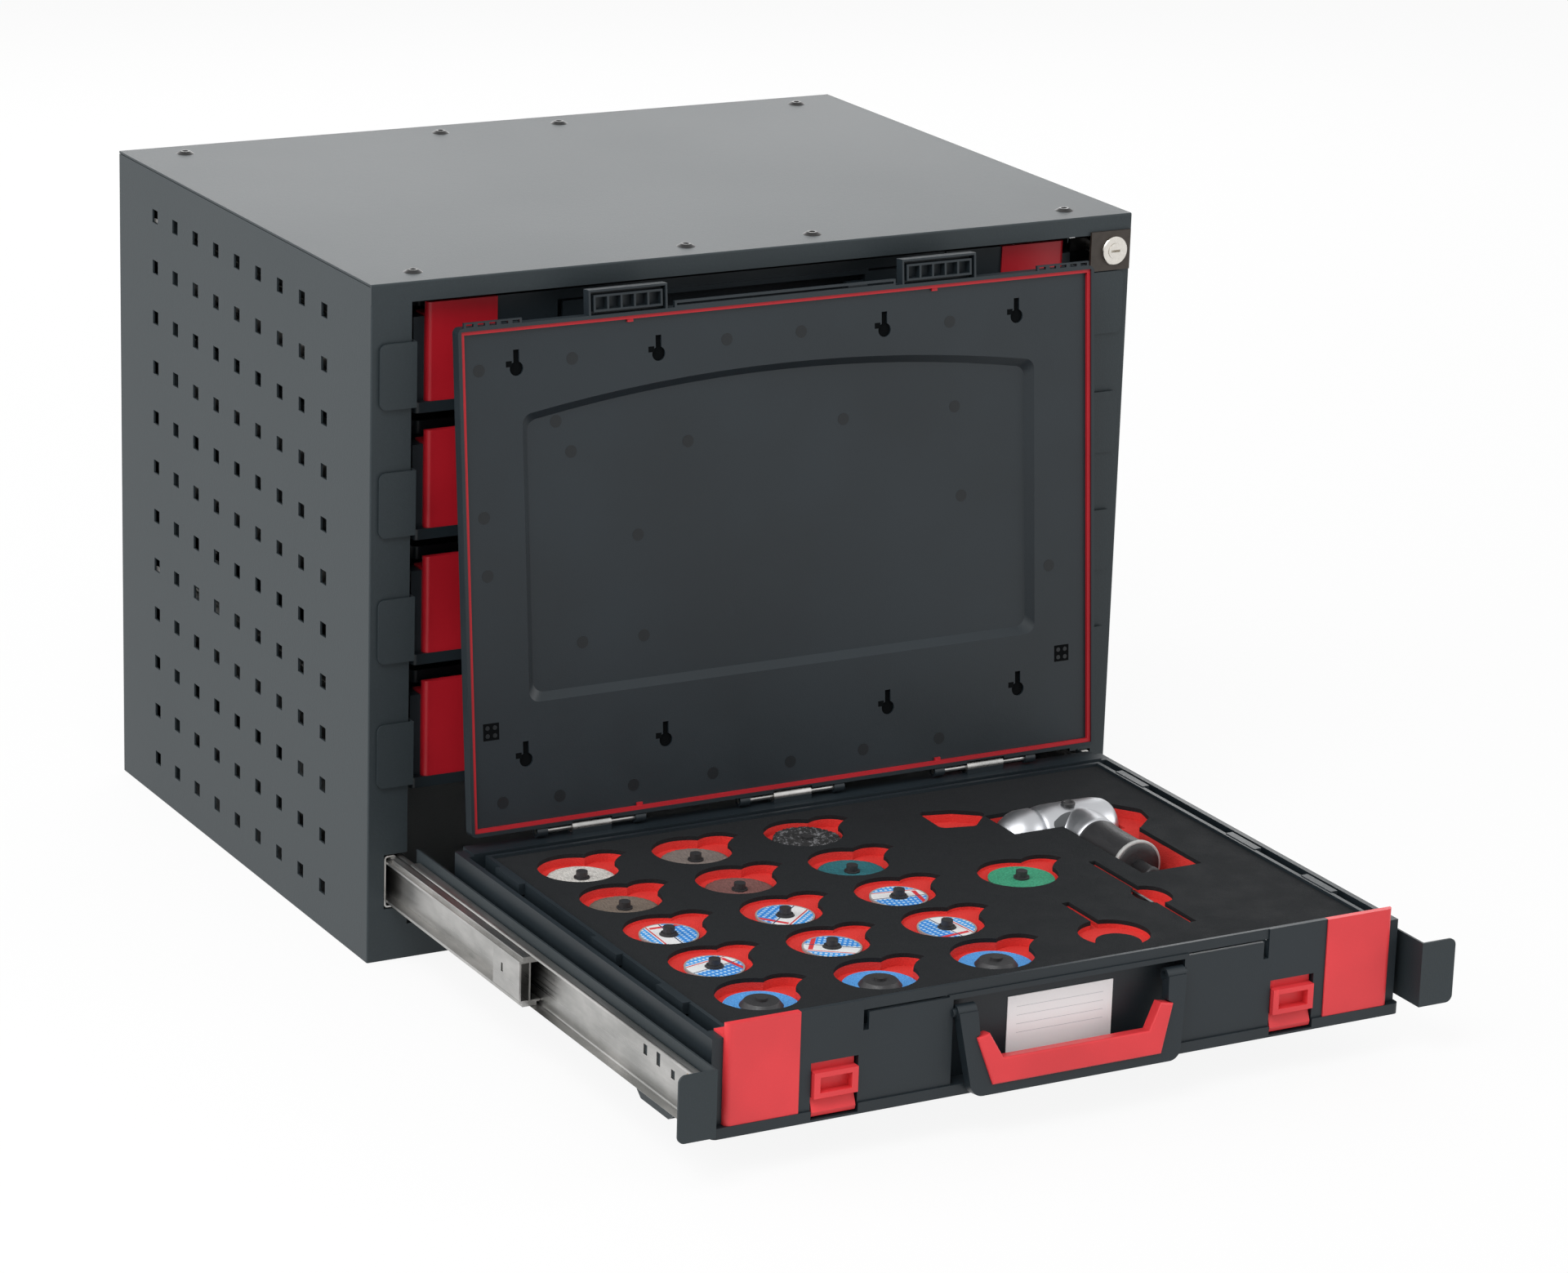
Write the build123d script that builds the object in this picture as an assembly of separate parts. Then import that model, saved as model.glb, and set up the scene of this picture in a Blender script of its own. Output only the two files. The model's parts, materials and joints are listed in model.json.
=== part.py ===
from build123d import *
import math
import os

# A steel storage rack for five flat tool cases. Each case rides on a pair of arms carried by
# ball-bearing rails that run out to their full length. The lowest drawer stands out, and its
# case is open, with the lid leaning back in front of the four stored cases.
# Millimetres. X points right, Y to the back, Z up. The origin is the middle of the cabinet's
# bottom face, and the front face looks along -Y.

# Levels
LEVELS = 5
LEVEL_PITCH = 89.7
LOWEST_CASE = 29.5
TOP_SPACE = 6.0

# Cabinet
CABINET_WIDTH = 600.0
CABINET_DEPTH = 450.0
CABINET_HEIGHT = LOWEST_CASE + LEVELS * LEVEL_PITCH + TOP_SPACE
SHEET = 1.5
FRONT_FLANGE = 30.0
REAR_FLANGE = 20.0
TOP_LIP = 14.0
APRON_HEIGHT = 25.0
TOP_SEAM = 0.5
CORNER_BEND = 1.2

# Square holes of the side and back panels
HOLE_SIDE = 10.0
HOLE_PITCH = 38.0
FIRST_COLUMN_FROM_BACK = 69.0
FRONT_HOLE_MARGIN = 60.0
FIRST_ROW_FROM_TOP = 35.0
BOTTOM_HOLE_MARGIN = 26.0
BACK_HOLE_MARGIN = 34.0

# Low round screw heads in the top
FIXING_EDGE = 25.0
FIXING_SIDE = 42.0
FIXING_PAIR = 100.0
FIXING_RADIUS = 6.8
FIXING_CROWN = 3.6
FIXING_HEIGHT = 1.9
FIXING_SOCKET = 2.2
FIXING_SOCKET_DEPTH = 1.2

# Drawers
DRAWER_STROKE = 450.0
CASE_SETBACK = 14.0

# Rail posts, welded between the side panels and the rails
POST_WIDTH = 24.0
FRONT_POST_FROM_FRONT = 30.0
REAR_POST_FROM_BACK = 76.0

# Rails
RAIL_OUTSIDE = 13.0
RAIL_HEIGHT = 38.0
RAIL_BOTTOM = 9.5
RAIL_WALL = 1.2
RAIL_LIP = 9.0
RAIL_BEND = 2.6
RAIL_LENGTH = 430.0
RAIL_START = 0.5
MEMBER_GAP = 0.4
MIDDLE_FLANGE = 1.6
BALL_SPACE = 3.0
CAGE_GAP = 0.25
MIDDLE_SETBACK = 15.0
MIDDLE_LENGTH = 410.0
STOP_PLATE_LENGTH = 40.0
STOP_SLOT_FROM_FRONT = 25.0
STOP_SLOT_LENGTH = 3.0
STOP_SLOT_HEIGHT = 6.0
RAIL_SLOT_LENGTH = 5.0
RAIL_SLOTS = ((50.0, 6.0, 0.0), (70.0, 9.0, 1.5), (88.0, 7.0, 2.5))
NOTCH_MARGIN = 1.0
NOTCH_OUTSIDE = 12.5

# Arms
ARM_HEIGHT = 45.8
ARM_BOTTOM = 8.7
ARM_FLANGE_OUTSIDE = 5.8
ARM_PROUD = 2.6
ARM_LENGTH = 440.0
ARM_CORNER = 5.0
TAB_REACH = 26.0
TAB_TOP = 66.0
TAB_BOTTOM = 38.0
TAB_CENTRES = (80.0, 302.0)
TAB_SEAT_GAP = 0.3

# Case body, measured from the middle of its front face and its underside
CASE_WIDTH = 505.0
CASE_DEPTH = 383.0
PLINTH_HEIGHT = 7.5
PLINTH_OUT = 9.5
PLINTH_FRONT = 1.5
PLINTH_CORNER = 4.0
SIDE_RAIL_OUT = 8.0
SIDE_RAIL_WALL = 4.0
SIDE_RAIL_FRONT = 4.0
SIDE_RAIL_TOP = 66.0
RIM_TOP = 67.5
FRONT_TOP = 76.5
FRONT_DEPTH = 17.0
FRONT_SKIN = 3.5
CASE_FLOOR = 3.0
WELL_WALL = 9.0
WELL_FRONT = 20.0
WELL_BACK = 357.0
TUB_WALL = 3.0
CHANNEL_DEPTH = 22.0
BACK_GROOVE = 5.5
LUG_LENGTH = 36.0
LUG_OUT = 4.5
LUG_BOTTOM = 60.0
LUG_TOP = 68.0
LUG_PLACES = (80.0, 173.0, 317.0)

# Red corner blocks of a case
CORNER_WIDTH = 52.5
CORNER_ROUND = 4.0
CORNER_PROUD = 1.0
CORNER_WALL = 3.0

# Handle recess, handle and label. The handle's faces are given as it hangs straight.
RECESS_HALF_WIDTH = 88.0
RECESS_DEPTH = 12.0
RECESS_TOP = 66.0
HANDLE_PIVOT_HEIGHT = 57.0
HANDLE_PIVOT_DEPTH = 0.5
HANDLE_EYE = 5.0
HANDLE_TOP_HALF = 86.5
HANDLE_FOOT_HALF = 79.0
HANDLE_ARM_WIDTH = 14.0
HANDLE_FOOT = 0.5
HANDLE_CORNER = 9.0
HANDLE_FRONT = 5.5
HANDLE_BACK = 2.5
HANDLE_LEAN = 8.0
HANDLE_PIN = 3.0
GRIP_FOOT = 7.0
GRIP_HEIGHT = 17.0
GRIP_FOOT_HALF = 64.0
GRIP_TOP = 39.5
GRIP_TOP_HALF = 74.5
GRIP_ARM_WIDTH = 9.5
GRIP_PROUD = 2.0
GRIP_EDGE = 1.5
LABEL_HALF_WIDTH = 40.0
LABEL_BOTTOM = 14.5
LABEL_HEIGHT = 41.5
LABEL_THICKNESS = 0.6

# Band along the top of the front wall, and the pockets under it that take the lid's tongues
LEDGE_INNER = 91.0
LEDGE_WIDTH = 63.0
LEDGE_BOTTOM = 56.0
LEDGE_DEPTH = 10.0
LEDGE_PLATE = 2.5
LEDGE_SIDE_GAP = 4.0
LEDGE_TOP_GAP = 1.5
BAND_BOTTOM = 69.5
BAND_SETBACK = 1.0

# Latches
LATCH_PLACE = 174.0
LATCH_WIDTH = 32.0
LATCH_BOTTOM = 3.0
LATCH_TOP = 38.5
LATCH_FRONT = 0.5
LATCH_PLATE_FRONT = 3.5
LATCH_PLATE = 3.0
LATCH_RAMP_BOTTOM = 6.0
LATCH_LOOP_BOTTOM = 16.0
LATCH_LOOP_TOP = 33.5
LATCH_LOOP_FRONT = 3.0
LATCH_LOOP_WALL = 4.5
LATCH_LOOP_BAR = 3.5
LATCH_RECESS_DEPTH = 9.0
LATCH_RECESS_BOTTOM = 1.5
LATCH_MARGIN = 1.2
LATCH_PIN = 1.6
LATCH_PIN_HEIGHT = 7.0
LATCH_PIN_DEPTH = 4.0

# Lid, drawn closed and then turned open about its hinge pins
LID_INSET = 2.0
LID_FRONT = 21.5
LID_BACK = 374.0
LID_UNDER = 68.5
LID_PLATE = 72.5
LID_WALL = 3.0
LID_RIM_TOP = 77.5
LID_RIM_WALL = 2.5
LID_PAD_TOP = 80.5
LID_LEAN = 5.2
LIP_REACH = 4.5
LIP_THICKNESS = 2.5
LIP_SLOT = 1.6
COMB_INNER = 203.0
COMB_LENGTH = 43.0
COMB_SLOTS = 5
TONGUE_MARGIN = 1.5
TONGUE_GAP = 0.5
TONGUE_WALL = 1.5
TONGUE_SPACE = 2.2
TONGUE_TOP = 76.5
TONGUE_BAYS = 5
PAD_HALF_WIDTH = 203.0
PAD_FRONT = 85.0
PAD_CROWN = 17.0
PAD_BACK = 286.0
PAD_CORNER = 8.0
PAD_BEVEL = 6.0
KEYHOLE_RADIUS = 5.0
KEYHOLE_SLOT = 2.2
KEYHOLE_LENGTH = 13.0
KEYHOLE_DEPTH = 1.8
KEYHOLE_COLUMNS = (-206.0, -98.0, 80.0, 188.0)
KEYHOLE_ROWS = (53.0, 325.0)
SEAL_WIDTH = 2.5
SEAL_HEIGHT = 2.6
SEAL_NUB = 2.2
SEAL_NUB_PLACE = 120.0

# Hinges between the lid and the case
HINGE_PIN_RADIUS = 1.9
HINGE_PIN_Y = 377.0
HINGE_PIN_Z = 72.5
HINGE_PITCH = 158.5
HINGE_PLACES = (-HINGE_PITCH, 0.0, HINGE_PITCH)
HINGE_SLEEVE = 30.0
HINGE_SLEEVE_RADIUS = 4.0
HINGE_OPEN_LENGTH = 68.0
HINGE_GAP = 0.6
KNUCKLE_WIDTH = 8.0
KNUCKLE_RADIUS = 4.0
PIN_FIT = 0.05

# Foam insert and what lies in it
FOAM_GAP = 0.3
FOAM_BASE_TOP = 62.5
FOAM_TOP = 65.5
SHALLOW_BED = 60.5
DEEP_BED = 56.5
DISC_COLUMNS = 3
DISC_ROWS = 5
FIRST_DISC = (-195.0, 62.0)
DISC_PITCH = (87.5, 64.0)
GREEN_DISC_PLACE = (75.0, 187.0)
POCKET_RADIUS = 28.0
POCKET_SHIFT = (-2.0, 0.0)
TAIL_TOP = (13.0, 19.0)
TAIL_CROWN = (30.0, 26.0)
TAIL_TIP = (44.0, 14.0)
TAIL_WAIST = (31.0, 4.0)
TAIL_FOOT = (22.0, -12.0)
PRINT_DISC_RADIUS = 20.0
GREEN_DISC_RADIUS = 23.0
WIDE_DISC_RADIUS = 25.0
FLEECE_DISC_RADIUS = 24.0
DISC_SHIFT = 2.0
DISC_THICKNESS = 1.6
PAD_RADIUS = 14.5
PAD_TAPER = 3.0
PAD_HEIGHT = 3.6
HUB_RADIUS = 4.0
HUB_FLANGE = 1.5
HUB_HEIGHT = 5.5

# Air tool: the head lies along X, the grip along Y
TOOL_HEAD_Y = 276.0
TOOL_AXIS_Z = 54.0
TOOL_NOSE_X = 113.0
TOOL_TAIL_X = 203.0
TOOL_HEAD_RADIUS = 20.0
TOOL_NOSE_RADIUS = 11.0
TOOL_NOSE_TAPER = 12.0
TOOL_SEAM_X = 146.0
TOOL_TAIL_RADIUS = 16.5
GRIP_X = 172.0
GRIP_START_Y = 242.0
GRIP_END_Y = 192.0
TOOL_GRIP_RADIUS = 17.5
TOOL_RING_RADIUS = 19.5
TOOL_RING_LENGTH = 4.0
INLET_RADIUS = 6.5
INLET_LENGTH = 22.0
THROTTLE_RADIUS = 7.0
THROTTLE_HEIGHT = 2.5
TOOL_CLEARANCE = 0.8
TOOL_POCKET_RIGHT = 200.0
TOOL_POCKET_FRONT = 152.0
FINGER_LEFT = ((72.0, 323.0), (97.0, 317.0), (117.0, 303.0), (96.0, 281.0), (71.0, 287.0))
FINGER_RIGHT = ((196.0, 300.0), (222.0, 264.0), (218.0, 247.0), (199.0, 230.0), (186.0, 240.0))
FINGER_ROUND = 5.0

# Hex key, its slot and the empty pocket of a small spanner
KEY_X = 132.0
KEY_FRONT = 108.0
KEY_BACK = 182.0
KEY_RADIUS = 2.0
SLOT_FRONT = 58.0
SLOT_END_GAP = 4.0
SLOT_WIDTH = 5.5
KEY_HOLLOW = (135.0, 114.0)
KEY_HOLLOW_SIZE = (13.0, 17.0)
SPANNER_PLACE = (72.0, 62.0)
SPANNER_RADIUS = 24.5
SPANNER_JAW = (-6.0, -15.5)
SPANNER_JAW_RADIUS = 15.5
SPANNER_NECK_WIDTH = 6.0
SPANNER_NECK_LENGTH = 62.0
SPANNER_DEPTH = 3.0

# Lock
LOCK_FROM_SIDE = 15.0
LOCK_FROM_TOP = 26.0
LOCK_RADIUS = 8.0
LOCK_BEZEL_RADIUS = 10.4
LOCK_BEZEL = 2.0
LOCK_LENGTH = 24.0
LOCK_PLATE_WIDTH = 33.0
LOCK_PLATE_HEIGHT = 29.0
LOCK_PLATE_THICKNESS = 2.0
CORE_RADIUS = 5.6
CORE_PROUD = 0.6
KEYWAY_LENGTH = 7.5
KEYWAY_WIDTH = 1.8
KEYWAY_DEPTH = 4.0
CAM_LENGTH = 21.0
CAM_WIDTH = 9.0
CAM_THICKNESS = 2.5

HALF_WIDTH = CABINET_WIDTH / 2
FRONT = -CABINET_DEPTH / 2
BACK = CABINET_DEPTH / 2
CASE_HALF = CASE_WIDTH / 2
FRONT_HALF = CASE_HALF - CORNER_WIDTH
WELL_HALF_WIDTH = CASE_HALF - WELL_WALL
LID_HALF_WIDTH = CASE_HALF - LID_INSET
LOCK_HEIGHT = CABINET_HEIGHT - LOCK_FROM_TOP


def block(x0, x1, y0, y1, z0, z1):
    """A box given by its lowest and highest corners."""
    size = (abs(x1 - x0), abs(y1 - y0), abs(z1 - z0))
    return Pos((x0 + x1) / 2, (y0 + y1) / 2, (z0 + z1) / 2) * Box(*size)


def rod_x(x0, x1, y, z, radius):
    """A round rod along X."""
    return Pos((x0 + x1) / 2, y, z) * Rot(0, 90, 0) * Cylinder(radius, abs(x1 - x0))


def rod_y(x, y0, y1, z, radius):
    """A round rod along Y."""
    return Pos(x, (y0 + y1) / 2, z) * Rot(90, 0, 0) * Cylinder(radius, abs(y1 - y0))


def mirrored(shape):
    """A solid and its mirror image on the other side of X = 0."""
    return [shape, shape.mirror(Plane.YZ)]


def level_base(level):
    """Height of the underside of the case on a level, where 1 is the top level."""
    return LOWEST_CASE + LEVEL_PITCH * (LEVELS - level)


def drawer_pull(level):
    """How far the drawer of a level stands out."""
    return DRAWER_STROKE if level == LEVELS else 0.0


def case_front(level):
    """Y of the front face of the case on a level."""
    return FRONT + CASE_SETBACK - drawer_pull(level)


def solids_of(shape):
    """The separate solids of a shape or of a list of shapes."""
    if isinstance(shape, list):
        found = []
        for item in shape:
            found.extend(solids_of(item))
        return found
    return list(shape.solids())


def write(node, shape):
    """Write one node as a STEP file."""
    solids = solids_of(shape)
    body = solids[0] if len(solids) == 1 else Compound(children=solids)
    body.label = node
    export_step(body, "parts/" + node + ".step")


# Cabinet

def hole_count(span):
    """How many holes fit on a span at the hole pitch."""
    return int(span // HOLE_PITCH) + 1


def hole_heights():
    """Heights of the rows of holes, from the top down."""
    first = CABINET_HEIGHT - FIRST_ROW_FROM_TOP
    count = hole_count(first - BOTTOM_HOLE_MARGIN)
    return [first - row * HOLE_PITCH for row in range(count)]


def side_panel(side):
    """One flat side sheet with its grid of square holes."""
    length = CABINET_DEPTH - SHEET
    height = CABINET_HEIGHT - SHEET - TOP_SEAM
    sheet = Pos(FRONT + SHEET + length / 2, height / 2) * Rectangle(length, height)
    first_y = BACK - FIRST_COLUMN_FROM_BACK
    columns = hole_count(CABINET_DEPTH - FIRST_COLUMN_FROM_BACK - FRONT_HOLE_MARGIN)
    holes = []
    for column in range(columns):
        for z in hole_heights():
            holes.append(Pos(first_y - column * HOLE_PITCH, z) * Rectangle(HOLE_SIDE, HOLE_SIDE))
    face = Plane.YZ.offset(HALF_WIDTH - SHEET) * (sheet - holes)
    panel = extrude(face, amount=SHEET)
    return panel if side > 0 else panel.mirror(Plane.YZ)


def back_panel():
    """Back sheet with the same holes as the sides, inside the rear frame."""
    width = CABINET_WIDTH - 2 * SHEET
    low = SHEET
    high = CABINET_HEIGHT - SHEET - TOP_SEAM
    sheet = Pos(0, (low + high) / 2) * Rectangle(width, high - low)
    columns = hole_count(CABINET_WIDTH - 2 * BACK_HOLE_MARGIN)
    holes = []
    for column in range(columns):
        x = (column - (columns - 1) / 2) * HOLE_PITCH
        for z in hole_heights():
            holes.append(Pos(x, z) * Rectangle(HOLE_SIDE, HOLE_SIDE))
    plane = Plane(origin=(0, BACK - 2 * SHEET, 0), x_dir=(1, 0, 0), z_dir=(0, -1, 0))
    return extrude(plane * (sheet - holes), amount=-SHEET)


def top_panel():
    """Top sheet with a lip turned down along its front edge."""
    top = CABINET_HEIGHT
    sheet = block(-HALF_WIDTH, HALF_WIDTH, FRONT, BACK, top - SHEET, top)
    lip = block(-HALF_WIDTH, HALF_WIDTH, FRONT, FRONT + SHEET, top - TOP_LIP, top)
    panel = sheet + lip
    bend = panel.edges().filter_by(Axis.X).group_by(Axis.Z)[-1].sort_by(Axis.Y)[0]
    return fillet(bend, CORNER_BEND)


def bottom_panel():
    """Bottom sheet with an apron turned up along its front edge."""
    inside = HALF_WIDTH - SHEET
    sheet = block(-inside, inside, FRONT + SHEET, BACK - SHEET, 0, SHEET)
    apron_half = HALF_WIDTH - FRONT_FLANGE
    apron = block(-apron_half, apron_half, FRONT, FRONT + SHEET, 0, APRON_HEIGHT)
    return sheet + apron


def front_upright():
    """Front flange of the right side, with a notch where each pair of rails comes out."""
    inner = HALF_WIDTH - FRONT_FLANGE
    top = CABINET_HEIGHT - TOP_LIP
    flange = block(inner, HALF_WIDTH, FRONT, FRONT + SHEET, 0, top)
    corner = flange.edges().filter_by(Axis.Z).group_by(Axis.X)[-1].sort_by(Axis.Y)[0]
    flange = fillet(corner, CORNER_BEND)
    for level in range(1, LEVELS + 1):
        low = level_base(level) + RAIL_BOTTOM - NOTCH_MARGIN
        high = low + RAIL_HEIGHT + 2 * NOTCH_MARGIN
        outer = HALF_WIDTH - NOTCH_OUTSIDE
        flange -= block(inner - 1, outer, FRONT - 1, FRONT + SHEET + 1, low, high)
    lock_x = HALF_WIDTH - LOCK_FROM_SIDE
    bore = rod_y(lock_x, FRONT - 1, FRONT + SHEET + 1, LOCK_HEIGHT, LOCK_RADIUS + PIN_FIT)
    return flange, bore


def front_uprights():
    """Both front flanges; only the right one has the hole for the lock."""
    flange, bore = front_upright()
    return [flange - bore, flange.mirror(Plane.YZ)]


def rear_frame():
    """Return flanges round the open back."""
    inside = HALF_WIDTH - SHEET
    top = CABINET_HEIGHT - SHEET
    ring = block(-inside, inside, BACK - SHEET, BACK, SHEET, top)
    inner = inside - REAR_FLANGE
    ring -= block(-inner, inner, BACK - SHEET - 1, BACK + 1, SHEET + REAR_FLANGE, top - REAR_FLANGE)
    return ring


def rail_posts():
    """Four upright channels that carry the rails off the side panels."""
    outer = HALF_WIDTH - SHEET
    inner = HALF_WIDTH - RAIL_OUTSIDE
    top = CABINET_HEIGHT - SHEET - TOP_SEAM
    posts = []
    for y0 in (FRONT + FRONT_POST_FROM_FRONT, BACK - REAR_POST_FROM_BACK - POST_WIDTH):
        y1 = y0 + POST_WIDTH
        post = block(inner, outer, y0, y1, SHEET, top)
        post -= block(inner + SHEET, outer + 1, y0 + SHEET, y1 - SHEET, SHEET - 1, top + 1)
        posts.extend(mirrored(post))
    return posts


def top_fixings():
    """Eight low screw heads in the top."""
    outer = HALF_WIDTH - FIXING_SIDE
    xs = (-outer, -FIXING_PAIR / 2, FIXING_PAIR / 2, outer)
    head = Cone(FIXING_RADIUS, FIXING_CROWN, FIXING_HEIGHT)
    socket_place = (FIXING_HEIGHT - FIXING_SOCKET_DEPTH) / 2
    socket = Pos(0, 0, socket_place) * Cylinder(FIXING_SOCKET, FIXING_SOCKET_DEPTH)
    head -= socket
    heads = []
    for y in (FRONT + FIXING_EDGE, BACK - FIXING_EDGE):
        for x in xs:
            heads.append(Pos(x, y, CABINET_HEIGHT + FIXING_HEIGHT / 2) * head)
    return heads


# Rails. Each section is drawn in X and Z on the right side and drawn out along Y.

def rail_section(open_side):
    """C section of a cabinet rail (opening inwards, -1) or a drawer rail (opening outwards, 1)."""
    section = Rectangle(RAIL_LIP, RAIL_HEIGHT)
    section = fillet(section.vertices(), RAIL_BEND)
    hollow = Rectangle(RAIL_LIP, RAIL_HEIGHT - 2 * RAIL_WALL)
    hollow = fillet(hollow.vertices(), RAIL_BEND - RAIL_WALL)
    return section - Pos(open_side * RAIL_WALL, 0) * hollow


def along_y(section, x, z, y0, length):
    """Extrude a section towards +Y from y0. The section's X and Y become X and Z."""
    plane = Plane(origin=(x, y0, z), x_dir=(1, 0, 0), z_dir=(0, -1, 0))
    return extrude(plane * section, amount=-length)


def rail_middle(level):
    """Height of the middle of a level's rails."""
    return level_base(level) + RAIL_BOTTOM + RAIL_HEIGHT / 2


CABINET_RAIL_X = HALF_WIDTH - RAIL_OUTSIDE - RAIL_LIP / 2
DRAWER_RAIL_X = CABINET_RAIL_X - RAIL_LIP - MEMBER_GAP
ARM_FACE_X = DRAWER_RAIL_X - RAIL_LIP / 2
MIDDLE_X = (CABINET_RAIL_X + DRAWER_RAIL_X) / 2


def cabinet_rails():
    """The fixed rail of every level, both sides."""
    rails = []
    for level in range(1, LEVELS + 1):
        rail = along_y(rail_section(-1), CABINET_RAIL_X, rail_middle(level),
                       FRONT + RAIL_START, RAIL_LENGTH)
        rails.extend(mirrored(rail))
    return rails


def middle_section():
    """Double channel that runs in the cabinet rail on one side and in the drawer rail on the other."""
    inside = RAIL_HEIGHT - 2 * RAIL_WALL
    height = inside - 2 * BALL_SPACE
    reach = 2 * (RAIL_LIP - RAIL_WALL) + MEMBER_GAP - 2 * CAGE_GAP
    flange_place = (height - MIDDLE_FLANGE) / 2
    section = Rectangle(RAIL_WALL, height)
    section += Pos(0, flange_place) * Rectangle(reach, MIDDLE_FLANGE)
    section += Pos(0, -flange_place) * Rectangle(reach, MIDDLE_FLANGE)
    cage_height = BALL_SPACE - CAGE_GAP
    cage_width = RAIL_LIP - RAIL_WALL - RAIL_BEND
    cage_x = reach / 2 - RAIL_BEND - cage_width / 2
    cage_y = height / 2 + cage_height / 2
    for x in (-cage_x, cage_x):
        for y in (-cage_y, cage_y):
            section += Pos(x, y) * Rectangle(cage_width, cage_height)
    return section


def middle_rails(level):
    """The middle rail of both sides, half as far out as the drawer."""
    start = FRONT + MIDDLE_SETBACK - drawer_pull(level) / 2
    z = rail_middle(level)
    rail = along_y(middle_section(), MIDDLE_X, z, start, MIDDLE_LENGTH)
    plate_height = RAIL_HEIGHT - 2 * RAIL_WALL - 2 * BALL_SPACE
    outer_x = MIDDLE_X + RAIL_LIP - RAIL_WALL - CAGE_GAP
    plate = block(outer_x - RAIL_WALL, outer_x, start, start + STOP_PLATE_LENGTH,
                  z - plate_height / 2, z + plate_height / 2)
    slot_start = start + STOP_SLOT_FROM_FRONT
    slot = block(outer_x - 2 * RAIL_WALL, outer_x + 1, slot_start, slot_start + STOP_SLOT_LENGTH,
                 z - 1, z - 1 + STOP_SLOT_HEIGHT)
    return mirrored(rail + plate - slot)


def drawer_rails(level):
    """The rail on each arm, with its adjusting holes near the front."""
    start = FRONT - ARM_PROUD + SHEET - drawer_pull(level)
    z = rail_middle(level)
    rail = along_y(rail_section(1), DRAWER_RAIL_X, z, start, RAIL_LENGTH)
    for offset, height, rise in RAIL_SLOTS:
        rail -= block(ARM_FACE_X - 1, ARM_FACE_X + RAIL_WALL + 1, start + offset,
                      start + offset + RAIL_SLOT_LENGTH, z + rise, z + rise + height)
    return mirrored(rail)


def arms(level):
    """The pair of arms under a case: a tall plate, a front flange and two bent support tabs."""
    y0 = FRONT - ARM_PROUD - drawer_pull(level)
    z0 = level_base(level) + ARM_BOTTOM
    z1 = z0 + ARM_HEIGHT
    inner = ARM_FACE_X - SHEET
    arm = block(inner, ARM_FACE_X, y0, y0 + ARM_LENGTH, z0, z1)
    flange_outer = HALF_WIDTH - ARM_FLANGE_OUTSIDE
    flange = block(inner, flange_outer, y0, y0 + SHEET, z0, z1)
    corners = flange.edges().filter_by(Axis.Y).group_by(Axis.X)[-1]
    arm += fillet(corners, ARM_CORNER)
    seat_top = level_base(level) - TAB_SEAT_GAP
    seat_bottom = seat_top - SHEET
    for centre in TAB_CENTRES:
        y = y0 + centre
        outline = Polyline((y - TAB_TOP / 2, z0), (y - TAB_BOTTOM / 2, seat_bottom),
                           (y + TAB_BOTTOM / 2, seat_bottom), (y + TAB_TOP / 2, z0), close=True)
        face = Plane.YZ.offset(inner) * make_face(outline)
        arm += extrude(face, amount=SHEET)
        arm += block(inner - TAB_REACH, inner + SHEET / 2, y - TAB_BOTTOM / 2, y + TAB_BOTTOM / 2,
                     seat_bottom, seat_top)
    return mirrored(arm)


# Case, drawn with its front face on Y = 0 and its underside on Z = 0

def ledge_pocket():
    """Pocket on the right half, under the band, that takes a tongue of the lid."""
    inner = LEDGE_INNER
    outer = LEDGE_INNER + LEDGE_WIDTH
    return block(inner, outer, -1, LEDGE_DEPTH, LEDGE_BOTTOM, BAND_BOTTOM)


def ledge_plate():
    """Plate that stands in front of the pocket, free at its top and its outer end."""
    outer = LEDGE_INNER + LEDGE_WIDTH - LEDGE_SIDE_GAP
    return block(LEDGE_INNER - 1, outer, 0, LEDGE_PLATE, LEDGE_BOTTOM - 1,
                 BAND_BOTTOM - LEDGE_TOP_GAP)


def latch_recess():
    """Recess on the right half that holds a latch."""
    half = LATCH_WIDTH / 2 + LATCH_MARGIN
    return block(LATCH_PLACE - half, LATCH_PLACE + half, -PLINTH_FRONT - 1, LATCH_RECESS_DEPTH,
                 LATCH_RECESS_BOTTOM, LATCH_TOP + LATCH_MARGIN)


def latch_pin():
    """Pin on which a latch swings."""
    half = LATCH_WIDTH / 2 + LATCH_MARGIN + 1
    return rod_x(LATCH_PLACE - half, LATCH_PLACE + half, LATCH_PIN_DEPTH, LATCH_PIN_HEIGHT, LATCH_PIN)


def handle_pin():
    """Pin on which one eye of the handle swings."""
    start = HANDLE_TOP_HALF - HANDLE_ARM_WIDTH + 2
    return rod_x(start, RECESS_HALF_WIDTH + 1, HANDLE_PIVOT_DEPTH, HANDLE_PIVOT_HEIGHT, HANDLE_PIN)


def front_wall():
    """Front of the tub: a thin skin of full height with a band set back in its middle."""
    wall = block(-FRONT_HALF, FRONT_HALF, 0, FRONT_DEPTH, PLINTH_HEIGHT, RIM_TOP)
    wall += block(-FRONT_HALF, FRONT_HALF, 0, FRONT_SKIN, RIM_TOP - 1, FRONT_TOP)
    band_half = LEDGE_INNER + LEDGE_WIDTH
    return wall - block(-band_half, band_half, -1, BAND_SETBACK, BAND_BOTTOM, FRONT_TOP + 1)


def side_rail():
    """Right side rail: a wall that stands outside the tub, down to the plinth."""
    outer = CASE_HALF + SIDE_RAIL_OUT
    return block(CASE_HALF, outer, SIDE_RAIL_FRONT, CASE_DEPTH - SIDE_RAIL_FRONT,
                 PLINTH_HEIGHT - 1, SIDE_RAIL_TOP)


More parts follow.
